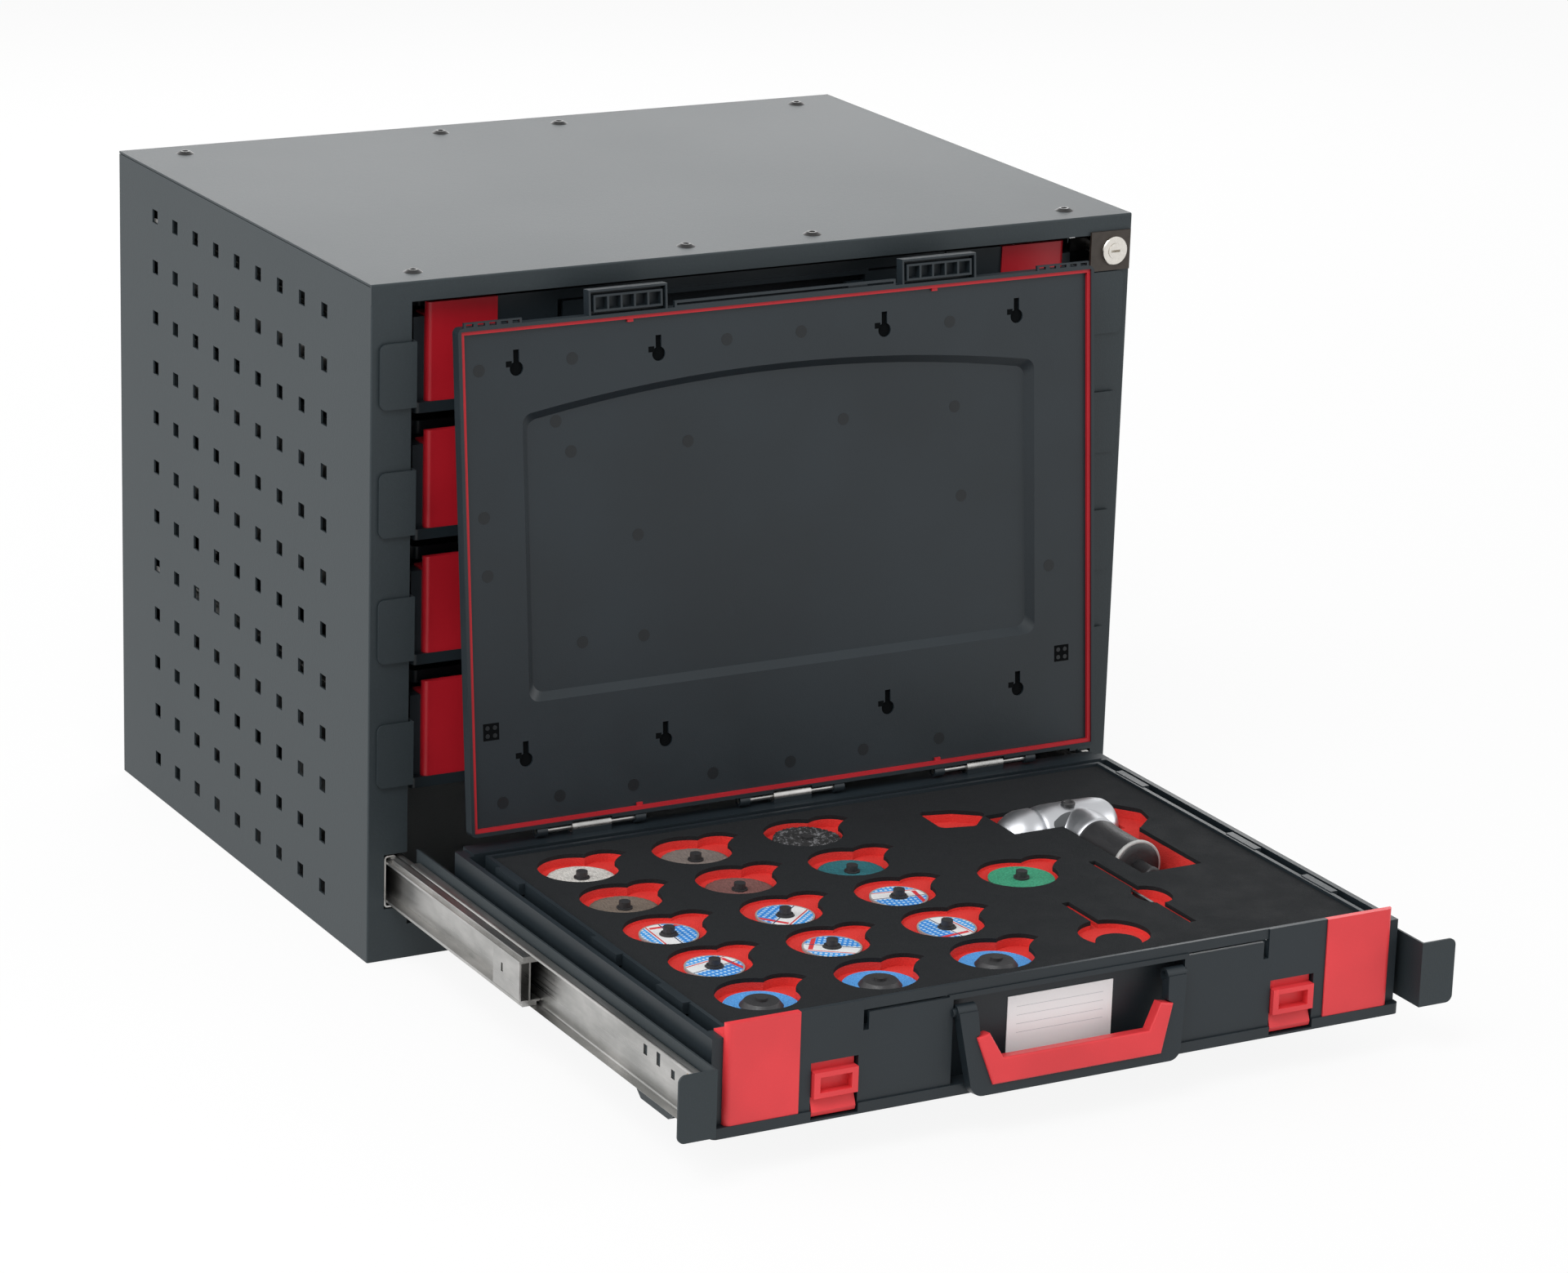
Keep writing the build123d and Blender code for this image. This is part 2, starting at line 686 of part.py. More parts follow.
def side_channel():
    """Deep channel between the right wall of the tub and the side rail."""
    inner = WELL_HALF_WIDTH + TUB_WALL
    outer = CASE_HALF + SIDE_RAIL_OUT - SIDE_RAIL_WALL
    back = WELL_BACK + TUB_WALL + BACK_GROOVE
    return block(inner, outer, FRONT_DEPTH + 1, back, RIM_TOP - CHANNEL_DEPTH, RIM_TOP + 1)


def back_groove():
    """Groove in the rim behind the well, for the lid's seal."""
    half = WELL_HALF_WIDTH + TUB_WALL + 1
    front = WELL_BACK + TUB_WALL
    return block(-half, half, front, front + BACK_GROOVE, RIM_TOP - CHANNEL_DEPTH / 2, RIM_TOP + 1)


def rim_lugs():
    """Three low lugs on the outside of the tub's right wall."""
    inner = WELL_HALF_WIDTH + TUB_WALL - 1
    half = LUG_LENGTH / 2
    outer = WELL_HALF_WIDTH + TUB_WALL + LUG_OUT
    return [block(inner, outer, place - half, place + half, LUG_BOTTOM, LUG_TOP)
            for place in LUG_PLACES]


def case_base():
    """Lower half of a case: plinth, tub, front wall with its recesses, side rails and lugs."""
    plinth_half = CASE_HALF + PLINTH_OUT
    plinth = block(-plinth_half, plinth_half, -PLINTH_FRONT, CASE_DEPTH, 0, PLINTH_HEIGHT)
    plinth = fillet(plinth.edges().filter_by(Axis.Z), PLINTH_CORNER)
    base = plinth + block(-CASE_HALF, CASE_HALF, FRONT_DEPTH, CASE_DEPTH, PLINTH_HEIGHT, RIM_TOP)
    base += front_wall()
    base += mirrored(side_rail())
    base -= block(-WELL_HALF_WIDTH, WELL_HALF_WIDTH, WELL_FRONT, WELL_BACK, CASE_FLOOR, RIM_TOP + 1)
    base -= mirrored(side_channel())
    base -= back_groove()
    for lug in rim_lugs():
        base += mirrored(lug)
    base -= block(-RECESS_HALF_WIDTH, RECESS_HALF_WIDTH, -PLINTH_FRONT - 1, RECESS_DEPTH,
                  PLINTH_HEIGHT, RECESS_TOP)
    base -= mirrored(ledge_pocket())
    base -= mirrored(latch_recess())
    base += mirrored(ledge_plate())
    base += mirrored(latch_pin())
    base += mirrored(handle_pin())
    for place in HINGE_PLACES:
        half = HINGE_SLEEVE / 2
        base += block(place - half, place + half, HINGE_PIN_Y - HINGE_SLEEVE_RADIUS,
                      HINGE_PIN_Y + HINGE_SLEEVE_RADIUS, RIM_TOP - 1, HINGE_PIN_Z - 1)
        base -= rod_x(place - half - 1, place + half + 1, HINGE_PIN_Y, HINGE_PIN_Z,
                      HINGE_SLEEVE_RADIUS)
    return base


def corner_blocks():
    """The two red corner caps of a case, thin above the rim."""
    inner = FRONT_HALF
    cap = block(inner, CASE_HALF, -CORNER_PROUD, FRONT_DEPTH, PLINTH_HEIGHT, RIM_TOP)
    cap += block(inner, CASE_HALF, -CORNER_PROUD, FRONT_SKIN, RIM_TOP - 1, FRONT_TOP)
    outer_edges = cap.edges().filter_by(Axis.Z).group_by(Axis.Y)[0]
    cap = fillet(outer_edges.sort_by(Axis.X)[-1], CORNER_ROUND)
    cap -= block(inner + CORNER_WALL, CASE_HALF - CORNER_WALL, FRONT_SKIN, FRONT_DEPTH + 1,
                 PLINTH_HEIGHT - 1, RIM_TOP - CORNER_WALL)
    return mirrored(cap)


def pad_outline(shrink):
    """Arched outline of the raised pad of the lid, smaller by shrink on each side."""
    half = PAD_HALF_WIDTH - shrink
    front = PAD_FRONT + shrink
    back = PAD_BACK - shrink
    crown = ThreePointArc((-half, front), (0, front - PAD_CROWN), (half, front))
    sides = Polyline((half, front), (half, back), (-half, back), (-half, front))
    face = make_face(crown + sides)
    return fillet(face.vertices(), PAD_CORNER)


def lid_panel():
    """Rim, flat plate and arched pad of the lid in its closed place."""
    rim = block(-LID_HALF_WIDTH, LID_HALF_WIDTH, LID_FRONT, LID_BACK, LID_UNDER, LID_RIM_TOP)
    rim = fillet(rim.edges().filter_by(Axis.Z), CORNER_ROUND)
    inner_half = LID_HALF_WIDTH - LID_RIM_WALL
    inner_front = LID_FRONT + LID_RIM_WALL
    inner_back = LID_BACK - LID_RIM_WALL
    rim -= block(-inner_half, inner_half, inner_front, inner_back, LID_UNDER - 1, LID_PLATE)
    rim -= block(-inner_half, inner_half, inner_front, inner_back, LID_PLATE + LID_WALL,
                 LID_RIM_TOP + 1)
    outer_pad = loft([Plane.XY.offset(LID_PLATE) * pad_outline(-LID_WALL),
                      Plane.XY.offset(LID_PAD_TOP) * pad_outline(PAD_BEVEL - LID_WALL)])
    inner_pad = loft([Plane.XY.offset(LID_PLATE - 0.5) * pad_outline(0),
                      Plane.XY.offset(LID_PAD_TOP - LID_WALL) * pad_outline(PAD_BEVEL)])
    return rim + outer_pad - inner_pad


def keyhole(x, y):
    """Blind keyhole in the inner face of the lid."""
    hole = Pos(x, y, LID_PLATE + KEYHOLE_DEPTH / 2) * Cylinder(KEYHOLE_RADIUS, KEYHOLE_DEPTH)
    return hole + block(x - KEYHOLE_SLOT, x + KEYHOLE_SLOT, y - KEYHOLE_LENGTH, y, LID_PLATE,
                        LID_PLATE + KEYHOLE_DEPTH)


def lid_lip():
    """Slotted lip in the middle of the lid's front edge."""
    half = RECESS_HALF_WIDTH - 1
    front = LID_FRONT - LIP_REACH
    lip = block(-half, half, front, LID_FRONT + 1, LID_UNDER, LID_UNDER + LIP_THICKNESS)
    return lip - block(-half + LIP_SLOT, half - LIP_SLOT, front + LIP_SLOT, front + 2 * LIP_SLOT,
                       LID_UNDER - 1, LID_UNDER + LIP_THICKNESS + 1)


def lid_comb():
    """Short ribbed strip at the right end of the lid's front edge."""
    front = LID_FRONT - LIP_REACH + 1
    comb = block(COMB_INNER, COMB_INNER + COMB_LENGTH, front, LID_FRONT + 1, LID_UNDER,
                 LID_UNDER + LIP_THICKNESS)
    pitch = COMB_LENGTH / COMB_SLOTS
    for index in range(COMB_SLOTS):
        x0 = COMB_INNER + index * pitch + LIP_SLOT
        comb -= block(x0, x0 + pitch - 2 * LIP_SLOT, front + 1, LID_FRONT - 0.5, LID_UNDER - 1,
                      LID_UNDER + LIP_THICKNESS + 1)
    return comb


def lid_tongue():
    """Tongue of the right half: a shallow tray with a ribbed frame standing in it."""
    x0 = LEDGE_INNER + TONGUE_MARGIN
    x1 = LEDGE_INNER + LEDGE_WIDTH - TONGUE_MARGIN
    y0 = FRONT_SKIN + TONGUE_GAP
    y1 = LID_FRONT
    floor = TONGUE_TOP - TONGUE_WALL
    wall = TONGUE_WALL
    tongue = block(x0, x1, y0, y1 + 1, LID_UNDER, TONGUE_TOP)
    tongue -= block(x0 + wall, x1 - wall, y0 + wall, y1, LID_UNDER - 1, floor)
    inset = wall + TONGUE_SPACE
    fx0 = x0 + inset
    fx1 = x1 - inset
    fy0 = y0 + inset
    fy1 = y1 - TONGUE_SPACE
    frame = block(fx0, fx1, fy0, fy1, LID_UNDER, TONGUE_TOP)
    bay = (fx1 - fx0 - wall) / TONGUE_BAYS
    for index in range(TONGUE_BAYS):
        left = fx0 + wall + index * bay
        frame -= block(left, left + bay - wall, fy0 + wall, fy1 - wall, LID_UNDER - 1, floor)
    return tongue + frame


def lid_knuckle(place, side):
    """One of the two lid knuckles of a hinge, beyond the open stretch of the pin."""
    x0 = place + side * HINGE_OPEN_LENGTH / 2
    x1 = x0 + side * KNUCKLE_WIDTH
    knuckle = rod_x(x0, x1, HINGE_PIN_Y, HINGE_PIN_Z, KNUCKLE_RADIUS)
    knuckle += block(x0, x1, LID_BACK - 1, HINGE_PIN_Y, HINGE_PIN_Z - 2, LID_RIM_TOP - 1)
    bore = rod_x(x0 - side, x1 + side, HINGE_PIN_Y, HINGE_PIN_Z, HINGE_PIN_RADIUS + PIN_FIT)
    return knuckle, bore


def lid_closed():
    """Lid of a case in its closed place."""
    lid = lid_panel()
    for x in KEYHOLE_COLUMNS:
        for y in KEYHOLE_ROWS:
            lid -= keyhole(x, y)
    lid += lid_lip()
    lid += mirrored(lid_comb())
    lid += mirrored(lid_tongue())
    for place in HINGE_PLACES:
        for side in (-1, 1):
            knuckle, bore = lid_knuckle(place, side)
            lid = lid + knuckle - bore
        notch_half = HINGE_SLEEVE / 2 + HINGE_GAP
        notch_front = HINGE_PIN_Y - HINGE_SLEEVE_RADIUS - HINGE_GAP
        lid -= block(place - notch_half, place + notch_half, notch_front, LID_BACK + 1,
                     LID_UNDER - 1, LID_RIM_TOP + 1)
    return lid


def lid_seal():
    """Red seal strip inside the rim of the lid, with small joining nubs."""
    outer = LID_HALF_WIDTH - LID_RIM_WALL
    front = LID_FRONT + LID_RIM_WALL
    back = LID_BACK - LID_RIM_WALL
    low = LID_PLATE - SEAL_HEIGHT
    ring = block(-outer, outer, front, back, low, LID_PLATE)
    ring -= block(-outer + SEAL_WIDTH, outer - SEAL_WIDTH, front + SEAL_WIDTH, back - SEAL_WIDTH,
                  low - 1, LID_PLATE + 1)
    for x in (-SEAL_NUB_PLACE, SEAL_NUB_PLACE):
        for y in (front + SEAL_WIDTH, back - SEAL_WIDTH):
            ring += block(x - SEAL_NUB, x + SEAL_NUB, y - SEAL_NUB, y + SEAL_NUB, low + 1, LID_PLATE)
    return ring


def hinge_pins():
    """Steel pins of the three hinges, each with its thicker sleeve in the middle."""
    pins = []
    for place in HINGE_PLACES:
        half = HINGE_OPEN_LENGTH / 2 + KNUCKLE_WIDTH
        pin = rod_x(place - half, place + half, HINGE_PIN_Y, HINGE_PIN_Z, HINGE_PIN_RADIUS)
        half = HINGE_SLEEVE / 2
        pin += rod_x(place - half, place + half, HINGE_PIN_Y, HINGE_PIN_Z, HINGE_SLEEVE_RADIUS)
        pins.append(pin)
    return pins


def front_face(right_points):
    """Symmetric face in X and Z from the points of its right half."""
    left_points = [(-x, z) for x, z in reversed(right_points)]
    return make_face(Polyline(*right_points, *left_points, close=True))


def along_depth(face, front, back):
    """Extrude a face drawn in X and Z from one depth to another."""
    plane = Plane(origin=(0, front, 0), x_dir=(1, 0, 0), z_dir=(0, -1, 0))
    return extrude(plane * face, amount=-(back - front))


def leaned(shape):
    """Swing the handle out to the place where it rests."""
    pivot = Axis((0, HANDLE_PIVOT_DEPTH, HANDLE_PIVOT_HEIGHT), (1, 0, 0))
    return shape.rotate(pivot, -HANDLE_LEAN)


def handle_bail():
    """Black loop of the handle, with an eye at the top of each arm."""
    top = HANDLE_PIVOT_HEIGHT
    arm_inner = HANDLE_TOP_HALF - HANDLE_ARM_WIDTH
    face = front_face([(HANDLE_FOOT_HALF, HANDLE_FOOT), (HANDLE_TOP_HALF, top), (arm_inner, top),
                       (arm_inner - 1, GRIP_TOP + 2), (GRIP_TOP_HALF, GRIP_TOP),
                       (GRIP_FOOT_HALF, GRIP_FOOT)])
    bail = along_depth(face, -HANDLE_FRONT, HANDLE_BACK)
    feet = bail.edges().filter_by(Axis.Y).group_by(Axis.Z)[0]
    bail = fillet(feet, HANDLE_CORNER)
    y = HANDLE_PIVOT_DEPTH
    bail += mirrored(rod_x(arm_inner, HANDLE_TOP_HALF, y, top, HANDLE_EYE))
    bore = rod_x(arm_inner - 2, HANDLE_TOP_HALF + 1, y, top, HANDLE_PIN + PIN_FIT)
    return leaned(bail - mirrored(bore))


def handle_grip():
    """Red soft insert on the inside of the handle loop."""
    inner_top = GRIP_TOP_HALF - GRIP_ARM_WIDTH
    inner_foot = GRIP_FOOT_HALF - GRIP_ARM_WIDTH + 1
    face = front_face([(GRIP_FOOT_HALF, GRIP_FOOT), (GRIP_TOP_HALF, GRIP_TOP),
                       (inner_top, GRIP_TOP + 2), (inner_foot, GRIP_FOOT + GRIP_HEIGHT)])
    grip = along_depth(face, -HANDLE_FRONT - GRIP_PROUD, HANDLE_BACK - 1)
    grip = fillet(grip.edges().group_by(Axis.Y)[0], GRIP_EDGE)
    return leaned(grip)


def latch():
    """Red latch of the right half: a pull loop on a plate that turns on a pin at its foot."""
    half = LATCH_WIDTH / 2
    x0 = LATCH_PLACE - half
    x1 = LATCH_PLACE + half
    back = LATCH_PLATE_FRONT + LATCH_PLATE
    outline = Polyline((LATCH_FRONT, LATCH_BOTTOM), (-LATCH_FRONT, LATCH_RAMP_BOTTOM),
                       (LATCH_PLATE_FRONT, LATCH_LOOP_BOTTOM), (LATCH_PLATE_FRONT, LATCH_TOP),
                       (back, LATCH_TOP), (back, LATCH_BOTTOM + 2), (back - 1, LATCH_BOTTOM),
                       close=True)
    body = extrude(Plane.YZ.offset(x0) * make_face(outline), amount=LATCH_WIDTH)
    loop = block(x0, x1, -LATCH_LOOP_FRONT, LATCH_PLATE_FRONT + 1, LATCH_LOOP_BOTTOM,
                 LATCH_LOOP_TOP)
    loop -= block(x0 + LATCH_LOOP_WALL, x1 - LATCH_LOOP_WALL, -LATCH_LOOP_FRONT - 1,
                  LATCH_PLATE_FRONT, LATCH_LOOP_BOTTOM + LATCH_LOOP_BAR,
                  LATCH_LOOP_TOP - LATCH_LOOP_BAR)
    bore = rod_x(x0 - 1, x1 + 1, LATCH_PIN_DEPTH, LATCH_PIN_HEIGHT, LATCH_PIN + PIN_FIT)
    return body + loop - bore


def label_card():
    """Blank card behind the handle."""
    return block(-LABEL_HALF_WIDTH, LABEL_HALF_WIDTH, RECESS_DEPTH - LABEL_THICKNESS, RECESS_DEPTH,
                 LABEL_BOTTOM, LABEL_BOTTOM + LABEL_HEIGHT)


def placed(shape, level):
    """Move a shape or a list from the case's own frame to its level."""
    move = Pos(0, case_front(level), level_base(level))
    if isinstance(shape, list):
        return [move * item for item in shape]
    return move * shape


def opened(shape):
    """Turn a piece of the lid open about the hinge pins."""
    hinge = Axis((0, HINGE_PIN_Y, HINGE_PIN_Z), (1, 0, 0))
    return shape.rotate(hinge, -(90 + LID_LEAN))


# Foam insert. All places are in the case's own frame.

def disc_places():
    """Centres of the disc pockets, row by row from the front."""
    x, y = FIRST_DISC
    return [(x + column * DISC_PITCH[0], y + row * DISC_PITCH[1])
            for row in range(DISC_ROWS) for column in range(DISC_COLUMNS)]


def pocket_face(x, y):
    """Outline of one disc pocket with its fish-tail finger notch at the upper right."""
    top_edge = ThreePointArc(TAIL_TOP, TAIL_CROWN, TAIL_TIP)
    end_edge = ThreePointArc(TAIL_TIP, TAIL_WAIST, TAIL_FOOT)
    tail = make_face(top_edge + end_edge + Line(TAIL_FOOT, TAIL_TOP))
    return Pos(x + POCKET_SHIFT[0], y + POCKET_SHIFT[1]) * (Circle(POCKET_RADIUS) + tail)


def rectangle(x0, x1, y0, y1):
    """A flat rectangle between two corners."""
    return Pos((x0 + x1) / 2, (y0 + y1) / 2) * Rectangle(abs(x1 - x0), abs(y1 - y0))


def tool_pocket_face():
    """Plan outline of the air tool's bed, with room beside and in front of the grip."""
    reach = TOOL_HEAD_RADIUS + TOOL_CLEARANCE
    left = GRIP_X - TOOL_RING_RADIUS - TOOL_CLEARANCE
    head = rectangle(TOOL_NOSE_X - TOOL_CLEARANCE, TOOL_TAIL_X + TOOL_CLEARANCE,
                     TOOL_HEAD_Y - reach, TOOL_HEAD_Y + reach)
    return head + rectangle(left, TOOL_POCKET_RIGHT, TOOL_POCKET_FRONT, TOOL_HEAD_Y)


def finger_faces():
    """Finger hollows at both ends of the tool's head."""
    faces = [make_face(Polyline(*points, close=True)) for points in (FINGER_LEFT, FINGER_RIGHT)]
    return [fillet(face.vertices(), FINGER_ROUND) for face in faces]


def key_faces():
    """Slot and finger hollow of the hex key."""
    half = SLOT_WIDTH / 2
    slot = rectangle(KEY_X - half, KEY_X + half, SLOT_FRONT, KEY_BACK + SLOT_END_GAP)
    return slot, Pos(*KEY_HOLLOW) * Ellipse(*KEY_HOLLOW_SIZE)


def spanner_face():
    """Outline of a small open-ended spanner, whose pocket is empty."""
    x, y = SPANNER_PLACE
    half = SPANNER_NECK_WIDTH / 2
    neck = rectangle(x - half, x + half, y, y + SPANNER_NECK_LENGTH)
    jaw = Pos(x + SPANNER_JAW[0], y + SPANNER_JAW[1]) * Circle(SPANNER_JAW_RADIUS)
    return Pos(x, y) * Circle(SPANNER_RADIUS) - jaw + neck


def foam_top():
    """Black top layer with every pocket cut through it."""
    half = WELL_HALF_WIDTH - FOAM_GAP
    sheet = rectangle(-half, half, WELL_FRONT + FOAM_GAP, WELL_BACK - FOAM_GAP)
    cuts = [pocket_face(x, y) for x, y in disc_places() + [GREEN_DISC_PLACE]]
    cuts.append(tool_pocket_face())
    cuts.extend(finger_faces())
    cuts.extend(key_faces())
    cuts.append(spanner_face())
    sheet = sheet - cuts
    return extrude(Plane.XY.offset(FOAM_BASE_TOP) * sheet, amount=FOAM_TOP - FOAM_BASE_TOP)


def sunk(face, floor):
    """A pocket of this outline from its floor up through the foam."""
    return extrude(Plane.XY.offset(floor) * face, amount=FOAM_TOP - floor)


def disc_beds():
    """Centres of the deep beds, for wide discs and fleece, and of the shallow ones."""
    count = DISC_COLUMNS
    places = disc_places()
    return places[:count] + places[3 * count:], places[count:3 * count] + [GREEN_DISC_PLACE]


def foam_base():
    """Red lower layer with the beds of the discs, the tool, the key and the spanner."""
    half = WELL_HALF_WIDTH - FOAM_GAP
    base = block(-half, half, WELL_FRONT + FOAM_GAP, WELL_BACK - FOAM_GAP, CASE_FLOOR, FOAM_BASE_TOP)
    base -= sunk(tool_pocket_face(), TOOL_AXIS_Z - TOOL_HEAD_RADIUS)
    slot, hollow = key_faces()
    deep, shallow = disc_beds()
    for x, y in shallow:
        base -= sunk(pocket_face(x, y), SHALLOW_BED)
    for x, y in deep:
        base -= sunk(pocket_face(x, y), DEEP_BED)
    for face in finger_faces():
        base -= sunk(face, DEEP_BED)
    base -= sunk(slot, FOAM_BASE_TOP - 2 * KEY_RADIUS)
    base -= sunk(hollow, DEEP_BED)
    base -= sunk(spanner_face(), FOAM_BASE_TOP - SPANNER_DEPTH)
    return base


def disc(x, y, radius, bed):
    """A flat disc lying in its bed, a little to the front of the pocket's middle."""
    place = Pos(x, y - DISC_SHIFT, bed + DISC_THICKNESS / 2)
    return place * Cylinder(radius, DISC_THICKNESS)


def centre_pad(x, y, bed):
    """Dark domed pad in the middle of a wide disc."""
    place = Pos(x, y - DISC_SHIFT, bed + DISC_THICKNESS + PAD_HEIGHT / 2)
    return place * Cone(PAD_RADIUS, PAD_RADIUS - PAD_TAPER, PAD_HEIGHT)


def hub(x, y, bed):
    """Knob of a disc, standing on a flange."""
    flange_height = HUB_HEIGHT / 4
    knob = Pos(0, 0, HUB_HEIGHT / 2) * Cylinder(HUB_RADIUS, HUB_HEIGHT)
    knob += Pos(0, 0, flange_height / 2) * Cylinder(HUB_RADIUS + HUB_FLANGE, flange_height)
    return Pos(x, y - DISC_SHIFT, bed + DISC_THICKNESS) * knob


def disc_sets():
    """Discs by kind: printed, with a blue ring, fleece, and the pads and hubs of all."""
    deep, shallow = disc_beds()
    ringed = deep[:DISC_COLUMNS]
    fleece = deep[DISC_COLUMNS:]
    *printed, green = shallow
    printed_discs = [disc(x, y, PRINT_DISC_RADIUS, SHALLOW_BED) for x, y in printed]
    printed_discs.append(disc(*green, GREEN_DISC_RADIUS, SHALLOW_BED))
    wide = [disc(x, y, WIDE_DISC_RADIUS, DEEP_BED) for x, y in ringed]
    soft = [disc(x, y, FLEECE_DISC_RADIUS, DEEP_BED) for x, y in fleece]
    pads = [centre_pad(x, y, DEEP_BED) - hub(x, y, DEEP_BED) for x, y in ringed]
    hubs = [hub(x, y, DEEP_BED) for x, y in deep]
    hubs += [hub(x, y, SHALLOW_BED) for x, y in shallow]
    return printed_discs, wide, soft, pads, hubs


def tool_head():
    """Angle head of the air tool: a turned form along X that flares into the grip."""
    r = TOOL_HEAD_RADIUS
    x0 = TOOL_NOSE_X
    x1 = TOOL_TAIL_X
    seam = TOOL_SEAM_X
    profile = Polyline((x0, 0), (x0, TOOL_NOSE_RADIUS), (x0 + TOOL_NOSE_TAPER, r - 2),
                       (seam - 2, r - 1), (seam - 1, r - 2), (seam + 1, r - 2), (seam + 3, r),
                       (x1 - 12, r), (x1, TOOL_TAIL_RADIUS), (x1, 0), close=True)
    turned = revolve(Plane.XZ * make_face(profile), Axis.X)
    head = Pos(0, TOOL_HEAD_Y, TOOL_AXIS_Z) * turned
    length = TOOL_HEAD_Y - GRIP_START_Y
    flare = Rot(-90, 0, 0) * Cone(TOOL_GRIP_RADIUS, r, length)
    return head + Pos(GRIP_X, TOOL_HEAD_Y - length / 2, TOOL_AXIS_Z) * flare


def tool_ring():
    """Light ring round the end of the grip."""
    y0 = GRIP_END_Y - TOOL_RING_LENGTH
    ring = rod_y(GRIP_X, y0, GRIP_END_Y, TOOL_AXIS_Z, TOOL_RING_RADIUS)
    return ring - rod_y(GRIP_X, y0 - 1, GRIP_END_Y + 1, TOOL_AXIS_Z, TOOL_GRIP_RADIUS - 2)


def tool_grip():
    """Dark sleeve of the grip with the air inlet at its end, and the throttle button."""
    sleeve = rod_y(GRIP_X, GRIP_END_Y, GRIP_START_Y, TOOL_AXIS_Z, TOOL_GRIP_RADIUS)
    end = GRIP_END_Y - TOOL_RING_LENGTH / 2
    sleeve += rod_y(GRIP_X, end, GRIP_END_Y, TOOL_AXIS_Z, TOOL_GRIP_RADIUS - 2)
    sleeve += rod_y(GRIP_X, end - INLET_LENGTH, end, TOOL_AXIS_Z, INLET_RADIUS)
    top = TOOL_AXIS_Z + TOOL_HEAD_RADIUS
    button = Pos(GRIP_X, TOOL_HEAD_Y - THROTTLE_HEIGHT, top) * Cylinder(
        THROTTLE_RADIUS, 2 * THROTTLE_HEIGHT)
    return [sleeve, button - tool_head()]


def hex_key():
    """Straight six-sided key in its slot."""
    z = FOAM_BASE_TOP - KEY_RADIUS
    length = KEY_BACK - KEY_FRONT
    leg = extrude(RegularPolygon(KEY_RADIUS, 6), length / 2, both=True)
    return Pos(KEY_X, (KEY_FRONT + KEY_BACK) / 2, z) * Rot(90, 0, 0) * leg


# Lock

def lock_parts():
    """Mounting plate, housing, turning core and cam of the lock."""
    x = HALF_WIDTH - LOCK_FROM_SIDE
    z = LOCK_HEIGHT
    face = FRONT - LOCK_PLATE_THICKNESS
    right = HALF_WIDTH - CORNER_BEND
    low = z - LOCK_PLATE_HEIGHT / 2
    plate = block(right - LOCK_PLATE_WIDTH, right, face, FRONT, low, low + LOCK_PLATE_HEIGHT)
    plate -= rod_y(x, face - 1, FRONT + 1, z, LOCK_RADIUS + PIN_FIT)
    housing = rod_y(x, face - LOCK_BEZEL, FRONT + LOCK_LENGTH, z, LOCK_RADIUS)
    housing += rod_y(x, face - LOCK_BEZEL, face, z, LOCK_BEZEL_RADIUS)
    front_edge = housing.edges().filter_by(GeomType.CIRCLE).sort_by(Axis.Y)[0]
    housing = chamfer(front_edge, LOCK_BEZEL / 4)
    housing -= rod_y(x, face - LOCK_BEZEL - 1, FRONT + LOCK_LENGTH + 1, z, CORE_RADIUS + PIN_FIT)
    cam_y = FRONT + LOCK_LENGTH + PIN_FIT * 4
    core = rod_y(x, face - LOCK_BEZEL - CORE_PROUD, cam_y + CAM_THICKNESS, z, CORE_RADIUS)
    way = block(x - KEYWAY_LENGTH / 2, x + KEYWAY_LENGTH / 2, face - LOCK_BEZEL - CORE_PROUD - 1,
                face - LOCK_BEZEL + KEYWAY_DEPTH, z - KEYWAY_WIDTH / 2, z + KEYWAY_WIDTH / 2)
    core -= way
    cam = block(x - CAM_LENGTH, x, cam_y, cam_y + CAM_THICKNESS, z - CAM_WIDTH / 2, z + CAM_WIDTH / 2)
    cam += rod_y(x, cam_y, cam_y + CAM_THICKNESS, z, LOCK_RADIUS)
    cam -= rod_y(x, cam_y - 1, cam_y + CAM_THICKNESS + 1, z, CORE_RADIUS)
    return plate, housing, core, cam


def build_cabinet():
    """Write the fixed pieces."""
    write("left_side_panel", side_panel(-1))
    write("right_side_panel", side_panel(1))
    write("top_panel", top_panel())
    write("bottom_panel", bottom_panel())
    write("front_uprights", front_uprights())
    write("rear_frame", rear_frame())
    write("back_panel", back_panel())
    write("rail_posts", rail_posts())
    write("top_fixings", top_fixings())
    write("cabinet_rails", cabinet_rails())
    plate, housing, core, cam = lock_parts()
    write("lock_plate", plate)
    write("lock_housing", housing)
    write("lock_core", core)
    write("lock_cam", cam)


def build_drawers():
    """Write the rails and arms of every level."""
    for level in range(1, LEVELS + 1):
        write(f"middle_rails_{level}", middle_rails(level))
        write(f"drawer_rails_{level}", drawer_rails(level))
        write(f"arms_{level}", arms(level))


def build_stored_cases():
    """Write the four closed cases."""
    base = case_base()
    lid = lid_closed()
    trim = corner_blocks() + mirrored(latch()) + [handle_grip()]
    pins = hinge_pins()
    bail = handle_bail()
    for level in range(1, LEVELS):
        write(f"case_{level}_shell", placed([base, lid] + pins, level))
        write(f"case_{level}_trim", placed(trim, level))
        write(f"case_{level}_handle", placed(bail, level))
    return base, lid, bail


